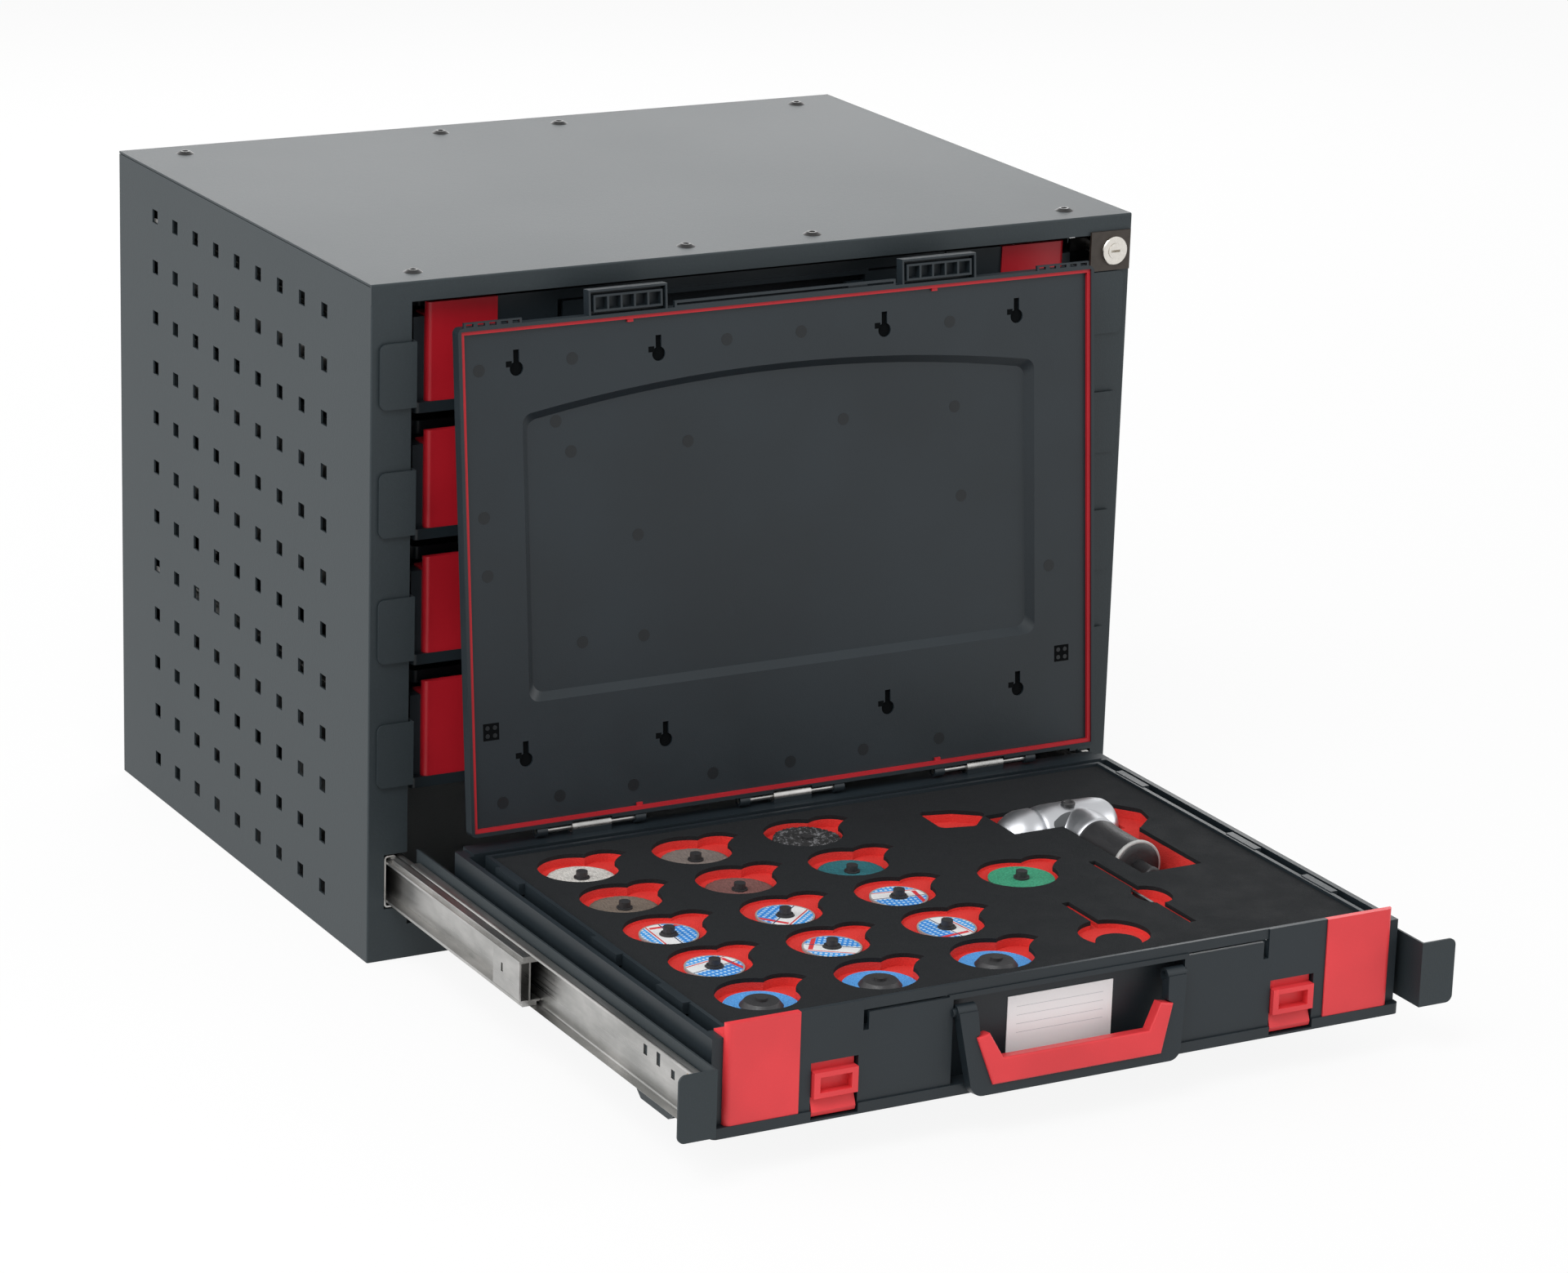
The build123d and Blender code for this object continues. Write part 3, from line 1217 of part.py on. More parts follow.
def build_open_case(base, lid, bail):
    """Write the open case and what lies in it."""
    write("open_case_base", placed(base, LEVELS))
    write("open_case_lid", placed(opened(lid), LEVELS))
    write("lid_seal", placed(opened(lid_seal()), LEVELS))
    write("hinge_pins", placed(hinge_pins(), LEVELS))
    write("open_case_corners", placed(corner_blocks(), LEVELS))
    write("open_case_handle", placed(bail, LEVELS))
    write("handle_grip", placed(handle_grip(), LEVELS))
    write("case_label", placed(label_card(), LEVELS))
    right = latch()
    write("latch_right", placed(right, LEVELS))
    write("latch_left", placed(right.mirror(Plane.YZ), LEVELS))
    write("foam_base", placed(foam_base(), LEVELS))
    write("foam_top", placed(foam_top(), LEVELS))
    printed_discs, wide, soft, pads, hubs = disc_sets()
    write("printed_discs", placed(printed_discs, LEVELS))
    write("ring_discs", placed(wide, LEVELS))
    write("fleece_discs", placed(soft, LEVELS))
    write("disc_hubs", placed(pads + hubs, LEVELS))
    write("tool_body", placed([tool_head(), tool_ring()], LEVELS))
    write("tool_grip", placed(tool_grip(), LEVELS))
    write("hex_key", placed(hex_key(), LEVELS))


os.makedirs("parts", exist_ok=True)
build_cabinet()
build_drawers()
build_open_case(*build_stored_cases())
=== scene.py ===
import json
import math

import bmesh
import bpy
from mathutils import Matrix, Vector, noise


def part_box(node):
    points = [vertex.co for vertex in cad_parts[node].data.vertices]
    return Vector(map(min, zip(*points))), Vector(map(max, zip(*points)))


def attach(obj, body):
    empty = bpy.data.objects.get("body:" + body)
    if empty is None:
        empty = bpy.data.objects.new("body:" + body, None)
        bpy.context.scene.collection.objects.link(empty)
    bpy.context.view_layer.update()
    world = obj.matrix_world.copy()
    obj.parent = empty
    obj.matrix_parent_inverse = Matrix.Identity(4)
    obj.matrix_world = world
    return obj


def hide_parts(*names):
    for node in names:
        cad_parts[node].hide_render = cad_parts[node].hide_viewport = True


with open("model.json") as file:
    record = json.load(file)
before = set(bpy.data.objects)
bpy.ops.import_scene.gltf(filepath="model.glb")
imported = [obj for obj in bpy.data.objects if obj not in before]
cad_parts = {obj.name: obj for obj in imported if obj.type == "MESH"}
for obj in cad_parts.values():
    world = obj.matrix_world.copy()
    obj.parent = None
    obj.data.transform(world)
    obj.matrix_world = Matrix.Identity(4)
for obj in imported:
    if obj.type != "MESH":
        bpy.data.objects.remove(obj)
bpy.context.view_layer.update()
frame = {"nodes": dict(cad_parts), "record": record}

NODES = frame["nodes"]
MM = 0.001
LEVELS = range(1, 6)
UP = Vector((0, 0, 1))
RIGHT = Vector((1, 0, 0))
FORWARD = Vector((0, -1, 0))
CASE = Vector((0.0, -0.661, 0.0295))


def case(x, y, z):
    """A point of the open case's own frame, in millimetres, as the row's frame has it."""
    return CASE + Vector((x, y, z)) * MM


def new_object(name, data):
    """A new object in the scene."""
    obj = bpy.data.objects.new(name, data)
    bpy.context.collection.objects.link(obj)
    return obj


# Camera, fitted to the photograph's frame of 1920 x 1559 pixels

VIEW_YAW, VIEW_PITCH, VIEW_ROLL = (math.radians(angle) for angle in (29.294, 17.476, 1.84))
VIEW_PLACE = Vector((-1.6936, -3.2863, 1.3031))
FRAME_WIDTH = 1920
FOCAL_PIXELS = 6322.5
SENSOR_WIDTH = 36
FAR_END = 50


def add_camera():
    """The camera, at the photograph's place and angle."""
    level = Vector((math.sin(VIEW_YAW), math.cos(VIEW_YAW), 0))
    side = Vector((math.cos(VIEW_YAW), -math.sin(VIEW_YAW), 0))
    ahead = math.cos(VIEW_PITCH) * level - math.sin(VIEW_PITCH) * UP
    above = math.sin(VIEW_PITCH) * level + math.cos(VIEW_PITCH) * UP
    across = math.cos(VIEW_ROLL) * side + math.sin(VIEW_ROLL) * above
    upright = -math.sin(VIEW_ROLL) * side + math.cos(VIEW_ROLL) * above
    data = bpy.data.cameras.new("camera")
    data.sensor_width = SENSOR_WIDTH
    data.lens = FOCAL_PIXELS / FRAME_WIDTH * SENSOR_WIDTH
    data.clip_end = FAR_END
    camera = new_object("camera", data)
    place = Matrix((across, upright, -ahead)).transposed().to_4x4()
    place.translation = VIEW_PLACE
    camera.matrix_world = place
    bpy.context.scene.camera = camera


# Node helpers

class Value:
    """An output of a node. Arithmetic and comparisons on it add Math nodes."""

    def __init__(self, nodes, out):
        self.nodes = nodes
        self.out = out

    def __getitem__(self, name):
        """Another output of the same node."""
        return Value(self.nodes, self.out.node.outputs[name])

    def __add__(self, other):
        return self.nodes.math("ADD", self, other)

    def __radd__(self, other):
        return self.nodes.math("ADD", other, self)

    def __sub__(self, other):
        return self.nodes.math("SUBTRACT", self, other)

    def __rsub__(self, other):
        return self.nodes.math("SUBTRACT", other, self)

    def __mul__(self, other):
        return self.nodes.math("MULTIPLY", self, other)

    def __rmul__(self, other):
        return self.nodes.math("MULTIPLY", other, self)

    def __truediv__(self, other):
        return self.nodes.math("DIVIDE", self, other)

    def __rtruediv__(self, other):
        return self.nodes.math("DIVIDE", other, self)

    def __gt__(self, other):
        return self.nodes.math("GREATER_THAN", self, other)

    def __lt__(self, other):
        return self.nodes.math("LESS_THAN", self, other)

    def __abs__(self):
        return self.nodes.math("ABSOLUTE", self)

    def __floor__(self):
        return self.nodes.math("FLOOR", self)

    def fraction(self):
        """What the value has past its whole number."""
        return self.nodes.math("FRACT", self)

    def clamped(self):
        """The value kept between 0 and 1."""
        return self.nodes.math("ADD", self, 0.0, clamp=True)

    def ramp(self, low, high, to_low=0.0, to_high=1.0):
        """The value mapped smoothly from low..high to to_low..to_high."""
        return self.nodes.add("ShaderNodeMapRange", {"interpolation_type": "SMOOTHSTEP"},
                              {"Value": self, "From Min": low, "From Max": high,
                               "To Min": to_low, "To Max": to_high})


class Nodes:
    """The node tree of a material or of the world."""

    def __init__(self, data):
        data.use_nodes = True
        self.tree = data.node_tree

    def feed(self, node, sockets):
        """Give a node's sockets their links, plain numbers or colours."""
        for name, value in sockets.items():
            if isinstance(value, Value):
                self.tree.links.new(value.out, node.inputs[name])
            else:
                node.inputs[name].default_value = value

    def add(self, kind, settings=None, sockets=None):
        """A new node: first its settings, then the values or links of its sockets."""
        node = self.tree.nodes.new(kind)
        for name, setting in (settings or {}).items():
            setattr(node, name, setting)
        self.feed(node, sockets or {})
        return Value(self, node.outputs[0])

    def math(self, operation, *terms, clamp=False):
        """A Math node on one or more terms."""
        return self.add("ShaderNodeMath", {"operation": operation, "use_clamp": clamp},
                        dict(enumerate(terms)))

    def shown_rays(self):
        """1 on rays from the camera, a glossy or a clear surface, and 0 on the rest."""
        path = self.add("ShaderNodeLightPath")
        return (path["Is Camera Ray"] + path["Is Glossy Ray"]
                + path["Is Transmission Ray"]).clamped()


class Finish(Nodes):
    """One material, with its principled shader."""

    def __init__(self, name, **shader):
        self.data = bpy.data.materials.new(name)
        super().__init__(self.data)
        self.shader = self.tree.nodes["Principled BSDF"]
        self.set(**shader)
        self.place = self.add("ShaderNodeTexCoord")["Object"]

    def set(self, **values):
        """Give the shader's sockets their values, with _ for a space in a name."""
        self.feed(self.shader, {name.replace("_", " "): value for name, value in values.items()})

    def axis(self, name):
        """The X, Y or Z of a surface point, in metres."""
        return self.add("ShaderNodeSeparateXYZ", sockets={"Vector": self.place})[name]

    def stretched(self, x, y, z):
        """The surface's place, scaled along each axis, for a noise with a direction."""
        return self.add("ShaderNodeMapping", sockets={"Vector": self.place, "Scale": (x, y, z)})

    def noise(self, scale, detail=3.0, rough=0.55, vector=None):
        """Soft noise with a number of patches per metre, or on a stretched place."""
        return self.add("ShaderNodeTexNoise",
                        sockets={"Vector": vector or self.place, "Scale": scale,
                                 "Detail": detail, "Roughness": rough})

    def cells(self, scale):
        """Round cells, dark in their middles, with a number of them per metre."""
        return self.add("ShaderNodeTexVoronoi", sockets={"Vector": self.place, "Scale": scale})

    def mix(self, factor, low, high):
        """A colour between two others, each a colour of three numbers or a Value."""
        low, high = (color if isinstance(color, Value) else (*color, 1.0)
                     for color in (low, high))
        return self.add("ShaderNodeMix", {"data_type": "RGBA"},
                        {"Factor": factor, "A": low, "B": high})["Result"]

    def bump(self, height, strength, distance, onto=None):
        """A relief of the given distance in millimetres, on top of another where given."""
        sockets = {"Height": height, "Strength": strength, "Distance": distance * MM}
        if onto:
            sockets["Normal"] = onto
        return self.add("ShaderNodeBump", sockets=sockets)


# Finishes

ANTHRACITE = (0.020, 0.027, 0.031)
PLASTIC = (0.012, 0.0180, 0.0225)
RED = (0.70, 0.042, 0.05)
# Red plastic darkened as painted shade, for the red parts of the stacked cases
PAINTED_SHADE_RED = (0.46, 0.010, 0.02)
SEAL_RED = (0.42, 0.01, 0.018)
SATIN_GREY = (0.07, 0.075, 0.08)
WHITE = (1, 1, 1, 1)

# How much of a noise's range a ramp takes
MIDDLE = (0.3, 0.7)
WIDE = (0.2, 0.8)


def toned(color, strength):
    """A colour made darker, or lighter with a strength over 1."""
    return tuple(part * strength for part in color)


def powder_coat():
    """Anthracite powder coat: fine orange peel and faint speckle."""
    m = Finish("anthracite_powder_coat", Specular_IOR_Level=0.38,
               Specular_Tint=(0.94, 0.99, 1.0, 1.0))
    speck = m.noise(scale=900, detail=2, rough=0.7)
    wipe = m.noise(scale=5, detail=2, rough=0.4, vector=m.stretched(1, 1, 0.3))
    waves = m.bump(m.noise(scale=170, detail=2), strength=0.05, distance=0.8)
    peel = m.noise(scale=700, detail=3, rough=0.6)
    m.set(Base_Color=m.mix(speck.ramp(0.45, 0.8) * 0.4, ANTHRACITE, toned(ANTHRACITE, 1.5)),
          Roughness=wipe.ramp(*WIDE, 0.46, 0.48) + speck * 0.05,
          Normal=m.bump(peel, strength=0.25, distance=0.4, onto=waves))
    return m


def zinc():
    """Bright zinc on rolled rail steel: fine lines along the rail and soft cloudy patches."""
    m = Finish("zinc_rail", Metallic=1.0)
    lines = m.noise(scale=1, detail=5, rough=0.6, vector=m.stretched(900, 6, 900))
    cloud = m.noise(scale=28, detail=4, rough=0.6, vector=m.stretched(1, 0.4, 1))
    m.set(Base_Color=m.mix(cloud.ramp(*MIDDLE), (0.34, 0.34, 0.33), (0.58, 0.57, 0.555)),
          Roughness=lines.ramp(*WIDE, 0.2, 0.4) + cloud * 0.08,
          Normal=m.bump(lines, strength=0.12, distance=0.3))
    return m


def cast_alloy():
    """Satin cast alloy with soft polishing lines."""
    m = Finish("cast_alloy", Metallic=1.0)
    lines = m.noise(scale=1, detail=4, rough=0.6, vector=m.stretched(60, 400, 400))
    cloud = m.noise(scale=40, detail=2)
    m.set(Base_Color=m.mix(cloud, (0.44, 0.45, 0.47), (0.53, 0.54, 0.56)),
          Roughness=lines.ramp(*WIDE, 0.34, 0.42) + cloud * 0.03,
          Normal=m.bump(lines, strength=0.03, distance=0.2))
    return m


def mottled(name, patch, tones, gloss, relief, grain=None, depth=0.2, metallic=0.0):
    """Soft patches between two tones, with a relief of finer grain or of the same patches.

    patch and grain are the scale, detail and roughness of their noise, and gloss is the lowest
    and highest roughness of the surface.
    """
    m = Finish(name, Metallic=metallic)
    spots = m.noise(*patch)
    height = m.noise(*grain) if grain else spots
    m.set(Base_Color=m.mix(spots, *tones), Roughness=spots.ramp(*MIDDLE, *gloss),
          Normal=m.bump(height, relief, depth))
    return m


def moulded(name, color, rough, grain=0.18):
    """Moulded plastic with a fine spark-eroded grain and faint flow patches."""
    m = Finish(name, Specular_IOR_Level=0.37)
    flow = m.noise(scale=9, detail=3, rough=0.5)
    pores = m.noise(scale=1100, detail=2, rough=0.6)
    scuff = m.noise(scale=60, detail=5, rough=0.65, vector=m.stretched(1, 0.3, 0.3))
    waves = m.bump(m.noise(scale=90, detail=2), strength=0.05, distance=0.8)
    tone = m.mix(flow.ramp(*MIDDLE) * 0.7 + pores.ramp(0.55, 0.8) * 0.3,
                 toned(color, 0.86), toned(color, 1.18))
    m.set(Base_Color=m.mix(scuff.ramp(0.66, 0.8) * 0.25, tone, toned(color, 1.9)),
          Roughness=flow.ramp(*WIDE, rough - 0.05, rough + 0.05) + scuff.ramp(0.6, 0.8) * 0.08,
          Normal=m.bump(pores, strength=grain, distance=0.3, onto=waves))
    return m


def foam(name, color, light):
    """Closed-cell foam: pitted skin, with crumbs where a knife has cut it."""
    m = Finish(name, Specular_IOR_Level=0.16)
    pits = m.cells(scale=1500)
    cloud = m.noise(scale=45, detail=4)
    crumbs = m.noise(scale=420, detail=3, rough=0.7)
    torn = m.bump(crumbs, strength=0.3, distance=0.6)
    shade = pits.ramp(0.1, 0.7) * 0.45 + cloud * 0.3 + crumbs.ramp(0.6, 0.8) * 0.35
    m.set(Base_Color=m.mix(shade, color, light),
          Roughness=cloud.ramp(*MIDDLE, 0.8, 0.95),
          Normal=m.bump(pits, strength=0.6, distance=0.5, onto=torn))
    return m


# Label card, in the case's millimetres
CARD_LINE_PITCH = 6.0
CARD_LINE_SHARE = 0.07
CARD_LINES_LOW, CARD_LINES_HIGH = 26.0, 52.0
CARD_HALF_LINE = 33.0


def card():
    """Blank label card with plain ruled lines."""
    m = Finish("blank_card", Coat_Weight=0.25, Coat_Roughness=0.2)
    height = (m.axis("Z") - CASE.z) / MM
    between = (height > CARD_LINES_LOW) * (height < CARD_LINES_HIGH)
    ruled = ((height / CARD_LINE_PITCH).fraction() < CARD_LINE_SHARE) * between * (
        abs(m.axis("X") / MM) < CARD_HALF_LINE)
    fibre = m.noise(scale=600, detail=4)
    paper = m.mix(fibre, (0.94, 0.94, 0.95), (0.99, 0.99, 0.99))
    m.set(Base_Color=m.mix(ruled * 0.55, paper, (0.35, 0.37, 0.4)),
          Roughness=fibre.ramp(*MIDDLE, 0.3, 0.42),
          Normal=m.bump(fibre, strength=0.05, distance=0.2))
    return m


# The grid of discs, in the case's millimetres, and the row's x (m) past which the lone one lies
FIRST_DISC = (-195.0, 62.0)
DISC_PITCH = (87.5, 64.0)
DISC_SHIFT = 2.0
LONE_DISC_FROM = 0.04
CHECK_LENGTH, CHECK_WIDTH = 4.2, 3.4
THREAD_PITCH = 1.1
BARE_RIM_FROM = 18.8
HUB_RADIUS = 6.5


def disc_place(m):
    """A surface point on the grid of discs, and its disc's column and row."""
    across = (m.axis("X") / MM - FIRST_DISC[0]) / DISC_PITCH[0]
    along = ((m.axis("Y") - CASE.y) / MM + DISC_SHIFT - FIRST_DISC[1]) / DISC_PITCH[1]
    return across, along, math.floor(across + 0.5), math.floor(along + 0.5)


def printed_abrasive():
    """Cutting discs with plain printed fields on a woven face, and one of green grain."""
    m = Finish("printed_abrasive")
    across, along, column, row = disc_place(m)
    dx = (across - column) * DISC_PITCH[0]
    dy = (along - row) * DISC_PITCH[1]
    radius = m.math("SQRT", dx * dx + dy * dy)
    turn = column * 2.3 + row * 1.3 + 0.5
    cos, sin = m.math("COSINE", turn), m.math("SINE", turn)
    u = dx * cos + dy * sin
    v = dy * cos - dx * sin
    checks = ((u / CHECK_LENGTH).fraction() < 0.5) * ((v / CHECK_WIDTH).fraction() < 0.55)
    grain = m.noise(scale=700, detail=3, rough=0.7)
    color = m.mix(grain, (0.62, 0.63, 0.64), (0.8, 0.8, 0.8))

    # Fields, one over the other, by their distance (mm) from the disc's middle
    for field, paint in (
            (u < -2.5, m.mix(checks, (0.03, 0.22, 0.62), (0.42, 0.62, 0.82))),
            (u > 11.0, m.mix(checks, (0.05, 0.3, 0.7), (0.6, 0.7, 0.8))),
            ((abs(v + 13.5) < 1.6) * (u < 8.0), (0.6, 0.03, 0.04)),
            (abs(u - 9.5) < 0.6, (0.55, 0.05, 0.06)),
            (abs(u + 1.2) < 0.5, (0.02, 0.05, 0.12)),
            (radius > BARE_RIM_FROM, (0.3, 0.29, 0.28)),
            (radius < HUB_RADIUS, (0.05, 0.05, 0.05)),
            (m.axis("X") > LONE_DISC_FROM,
             m.mix(grain.ramp(*MIDDLE), (0.012, 0.17, 0.09), (0.05, 0.36, 0.2)))):
        color = m.mix(field, color, paint)
    weave = (((dx / THREAD_PITCH).fraction() < 0.5)
             + ((dy / THREAD_PITCH).fraction() < 0.5)) * 0.4
    m.set(Base_Color=color, Roughness=grain.ramp(*MIDDLE, 0.5, 0.75),
          Normal=m.bump(weave + grain, strength=0.35, distance=0.2))
    return m


def blue_grain():
    """Blue abrasive cloth: sharp grain in a darker bond."""
    m = Finish("blue_grain")
    grit = m.cells(scale=1400)
    cloud = m.noise(scale=120, detail=3)
    folds = m.bump(cloud, strength=0.2, distance=0.5)
    m.set(Base_Color=m.mix(grit.ramp(0.1, 0.6), (0.02, 0.13, 0.42), (0.09, 0.36, 0.78)),
          Roughness=cloud.ramp(*MIDDLE, 0.6, 0.85),
          Normal=m.bump(grit, strength=0.7, distance=0.4, onto=folds))
    return m


def nonwoven():
    """Fleece discs, each column and row of its own colour, the last one wiry."""
    m = Finish("nonwoven", Specular_IOR_Level=0.2)
    column, row = disc_place(m)[2:]
    past_first, past_second, back = column > 0.5, column > 1.5, row > 3.5
    rows = [m.mix(past_second, m.mix(past_first, first, second), third)
            for first, second, third in (
                ((0.2, 0.16, 0.13), (0.22, 0.1, 0.09), (0.03, 0.17, 0.2)),
                ((0.72, 0.7, 0.66), (0.24, 0.2, 0.18), (0.03, 0.03, 0.031)))]
    wire = m.noise(scale=260, detail=4, rough=0.8).ramp(0.52, 0.6)
    color = m.mix(back * past_second * wire, m.mix(back, *rows), (0.22, 0.22, 0.23))
    hollow = m.mix(0.6, color, (0.02, 0.02, 0.02))
    fibre = m.noise(scale=1, detail=6, rough=0.7, vector=m.stretched(900, 300, 600))
    tuft = m.noise(scale=350, detail=5, rough=0.7)
    tufts = m.bump(tuft, strength=0.8, distance=1.0)
    m.set(Base_Color=m.mix(fibre.ramp(0.35, 0.65) * 0.6, color, hollow),
          Roughness=tuft.ramp(*MIDDLE, 0.8, 0.98),
          Normal=m.bump(fibre, strength=0.9, distance=0.6, onto=tufts))
    return m


FINISHES = {
    "cabinet_paint": powder_coat(),
    "rail_steel": zinc(),
    "screw_steel": mottled("black_oxide_steel", metallic=0.85, patch=(300, 3),
                           tones=((0.02, 0.02, 0.021), (0.06, 0.06, 0.06)),
                           gloss=(0.3, 0.48), relief=0.15, grain=(900, 2)),
    "bracket_steel": mottled("bronze_bracket", metallic=0.4, patch=(180, 3),
                             tones=((0.028, 0.022, 0.018), (0.06, 0.05, 0.042)),
                             gloss=(0.35, 0.55), relief=0.12, grain=(800, 2)),
    "nickel": mottled("nickel", metallic=1.0, patch=(500, 4, 0.6),
                      tones=((0.6, 0.57, 0.52), (0.8, 0.77, 0.72)),
                      gloss=(0.16, 0.3), relief=0.06),
    "case_plastic": moulded("case_plastic", PLASTIC, rough=0.42),
    "red_plastic": moulded("red_plastic", RED, rough=0.38, grain=0.12),
    "red_seal": moulded("red_seal", SEAL_RED, rough=0.5, grain=0.1),
    "red_foam": foam("red_foam", (0.60, 0.028, 0.025), (0.78, 0.06, 0.05)),
    "black_foam": foam("black_foam", (0.006, 0.007, 0.008), (0.02, 0.022, 0.024)),
    "label_card": card(),
    "abrasive": printed_abrasive(),
    "blue_abrasive": blue_grain(),
    "fleece": nonwoven(),
    "dark_rubber": mottled("dark_rubber", patch=(900, 3),
                           tones=((0.012, 0.012, 0.013), (0.03, 0.03, 0.032)),
                           gloss=(0.4, 0.58), relief=0.25, depth=0.3),
    "tool_metal": cast_alloy(),
}

# Finishes of pieces that differ from the rest of their slot
PALE_RING = mottled("light_polymer", patch=(800, 2),
                    tones=((0.36, 0.36, 0.35), (0.5, 0.5, 0.49)),
                    gloss=(0.32, 0.45), relief=0.12)
CLIP_STEEL = mottled("bronze_clip", metallic=1.0, patch=(220, 3),
                     tones=((0.32, 0.25, 0.19), (0.52, 0.43, 0.34)),
                     gloss=(0.3, 0.45), relief=0.1, grain=(700, 2))
# A copy of the red plastic darkened with painted shade, for the stacked cases' red parts
SHADED_RED = moulded("red_plastic_painted_shade", PAINTED_SHADE_RED, rough=0.38, grain=0.12)
MOULD_MARK = moulded("moulded_mark", toned(PLASTIC, 0.4), rough=0.36)
# Near-black, matte plastic that stands in for the shade in the keyholes and the four-dot squares:
# painted shade
PAINTED_SHADE_FLOOR = moulded("painted_shade_floor", toned(PLASTIC, 0.1), rough=0.9)
PAINTED_SHADE_FLOOR.set(Specular_IOR_Level=0.08)
DARK_SATIN = moulded("dark_satin", SATIN_GREY, rough=0.3, grain=0.05)


# The CAD's own nodes

def softened(obj, flat_angle, edge_angle, width, segments):
    """Merge an object's flat faces and round its edges. Angles in degrees, width in metres."""
    flat = obj.modifiers.new("flat", "DECIMATE")
    flat.decimate_type = "DISSOLVE"
    flat.angle_limit = math.radians(flat_angle)
    edge = obj.modifiers.new("edge", "BEVEL")
    edge.width = width
    edge.segments = segments
    edge.limit_method = "ANGLE"
    edge.angle_limit = math.radians(edge_angle)
    edge.use_clamp_overlap = True
    return edge


SHEET_EDGE = 0.2 * MM
NODE_EDGE = 0.5 * MM
PUNCHED_SHEETS = ("left_side_panel", "right_side_panel")


def dress_nodes():
    """Give every CAD node its material and softened edges."""
    for part in frame["record"]["subparts"]:
        node, slot = part["node"], part["material_slot"]
        # Red parts of the stacked cases take the copy of the red plastic darkened with painted
        # shade
        shade_painted_part = node.startswith("case_") and slot == "red_plastic"
        materials = NODES[node].data.materials
        materials.clear()
        materials.append((SHADED_RED if shade_painted_part else FINISHES[slot]).data)
    for name, obj in NODES.items():
        width = SHEET_EDGE if name in PUNCHED_SHEETS else NODE_EDGE
        edge = softened(obj, flat_angle=1, edge_angle=40, width=width, segments=2)
        edge.harden_normals = True


# Meshes

def piece(name, mesh, slot, body, material=None):
    """A finished object on a body, with the material of its slot or one of its own."""
    obj = new_object(name, mesh)
    mesh.materials.clear()
    mesh.materials.append((material or FINISHES[slot]).data)
    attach(obj, body)
    return obj


def finished(bm, name, smooth=True):
    """The mesh of a built form, with its normals outward."""
    bmesh.ops.recalc_face_normals(bm, faces=bm.faces)
    for face in bm.faces:
        face.smooth = smooth
    mesh = bpy.data.meshes.new(name)
    bm.to_mesh(mesh)
    bm.free()
    return mesh


def shaped(obj):
    """The mesh that an object has with all its modifiers. The object goes."""
    graph = bpy.context.evaluated_depsgraph_get()
    mesh = bpy.data.meshes.new_from_object(obj.evaluated_get(graph), depsgraph=graph)
    bpy.data.objects.remove(obj)
    return mesh


def join_rings(bm, rings):
    """Faces between each closed ring of points and the next."""
    for low, high in zip(rings, rings[1:]):
        for k in range(len(low)):
            n = (k + 1) % len(low)
            bm.faces.new((low[k], low[n], high[n], high[k]))


# Foam: least upright part of a flat face's normal, most cuts and longest step of a divided
# edge, scale (per metre) and seed of the wander, and reach of a lip in its own widths

FLAT_FACE = 0.99
MOST_CUTS = 60
WALL_STEP = 5 * MM
WANDER_SCALE = 130
WANDER_SEED = 5
LIP_REACH = 1.2


def divided(bm, step, keep):
    """Divide every edge longer than step, apart from those that keep names."""
    counts = {}
    for edge in bm.edges:
        cuts = int(edge.calc_length() / step)
        if cuts and not keep(edge):
            counts.setdefault(min(cuts, MOST_CUTS), []).append(edge)
    for cuts, edges in counts.items():
        bmesh.ops.subdivide_edges(bm, edges=edges, cuts=cuts)


def cut_foam(node, name, slot, lip, wander):
    """A foam layer: soft lips on every cut, walls that wander as a knife leaves them."""
    blank = new_object(name + "_blank", NODES[node].data.copy())
    softened(blank, flat_angle=2, edge_angle=50, width=lip, segments=3)
    mesh = shaped(blank)
    bm = bmesh.new()
    bm.from_mesh(mesh)
    divided(bm, WALL_STEP, lambda e: all(abs(f.normal.z) > FLAT_FACE for f in e.link_faces))
    top = max(v.co.z for v in bm.verts)
    for v in bm.verts:
        push = noise.noise_vector(v.co * WANDER_SCALE) * wander
        push.z = -abs(push.z) if v.co.z > top - lip * LIP_REACH else 0.0
        v.co += push
    for face in bm.faces:
        face.smooth = abs(face.normal.z) < FLAT_FACE
    bm.to_mesh(mesh)
    bm.free()
    layer = piece(name, mesh, slot, "drawer_5")
    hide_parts(node)


def add_foam():
    """The black layer with the cut-outs and the red one under it."""
    noise.seed_set(WANDER_SEED)
    cut_foam("foam_top", "foam_sheet", "black_foam", 0.7 * MM, 0.2 * MM)
    cut_foam("foam_base", "foam_bed", "red_foam", 0.5 * MM, 0.15 * MM)


# Fleece discs, in millimetres. Fine and coarse are a thickness and how rough its faces are

FLEECE_AROUND = 96
FLEECE_RINGS = 14
FLEECE_RADIUS = 24.0
FLEECE_Z = 56.5
FLEECE_FINE = (2.4, 0.35)
FLEECE_COARSE = (7.0, 1.8)
FLEECE_RIM = 0.3
FLEECE_LIFT = 0.05
RIM_FRAY, EDGE_FRAY = 0.4, 0.5

# Scales of the fleece's lumps and frays, per metre, and the radius (m) where frays are read
LUMP_SCALE = 700
FRAY_SCALE = 900
FRAY_RADIUS = 30 * MM


def fleece_ring(bm, middle, radius, height, rough, fray):
    """One ring of points, uneven in height by rough and in radius by fray."""
    verts = []
    for k in range(FLEECE_AROUND):
        turn = math.tau * k / FLEECE_AROUND
        out = Vector((math.cos(turn), math.sin(turn), 0))
        lump = noise.noise((middle + out * radius * MM) * LUMP_SCALE) * rough
        edge = noise.noise((middle + out * FRAY_RADIUS) * FRAY_SCALE) * fray
        place = middle + out * (radius + edge) * MM
        place.z += (height + lump) * MM
        verts.append(bm.verts.new(place))
    return verts


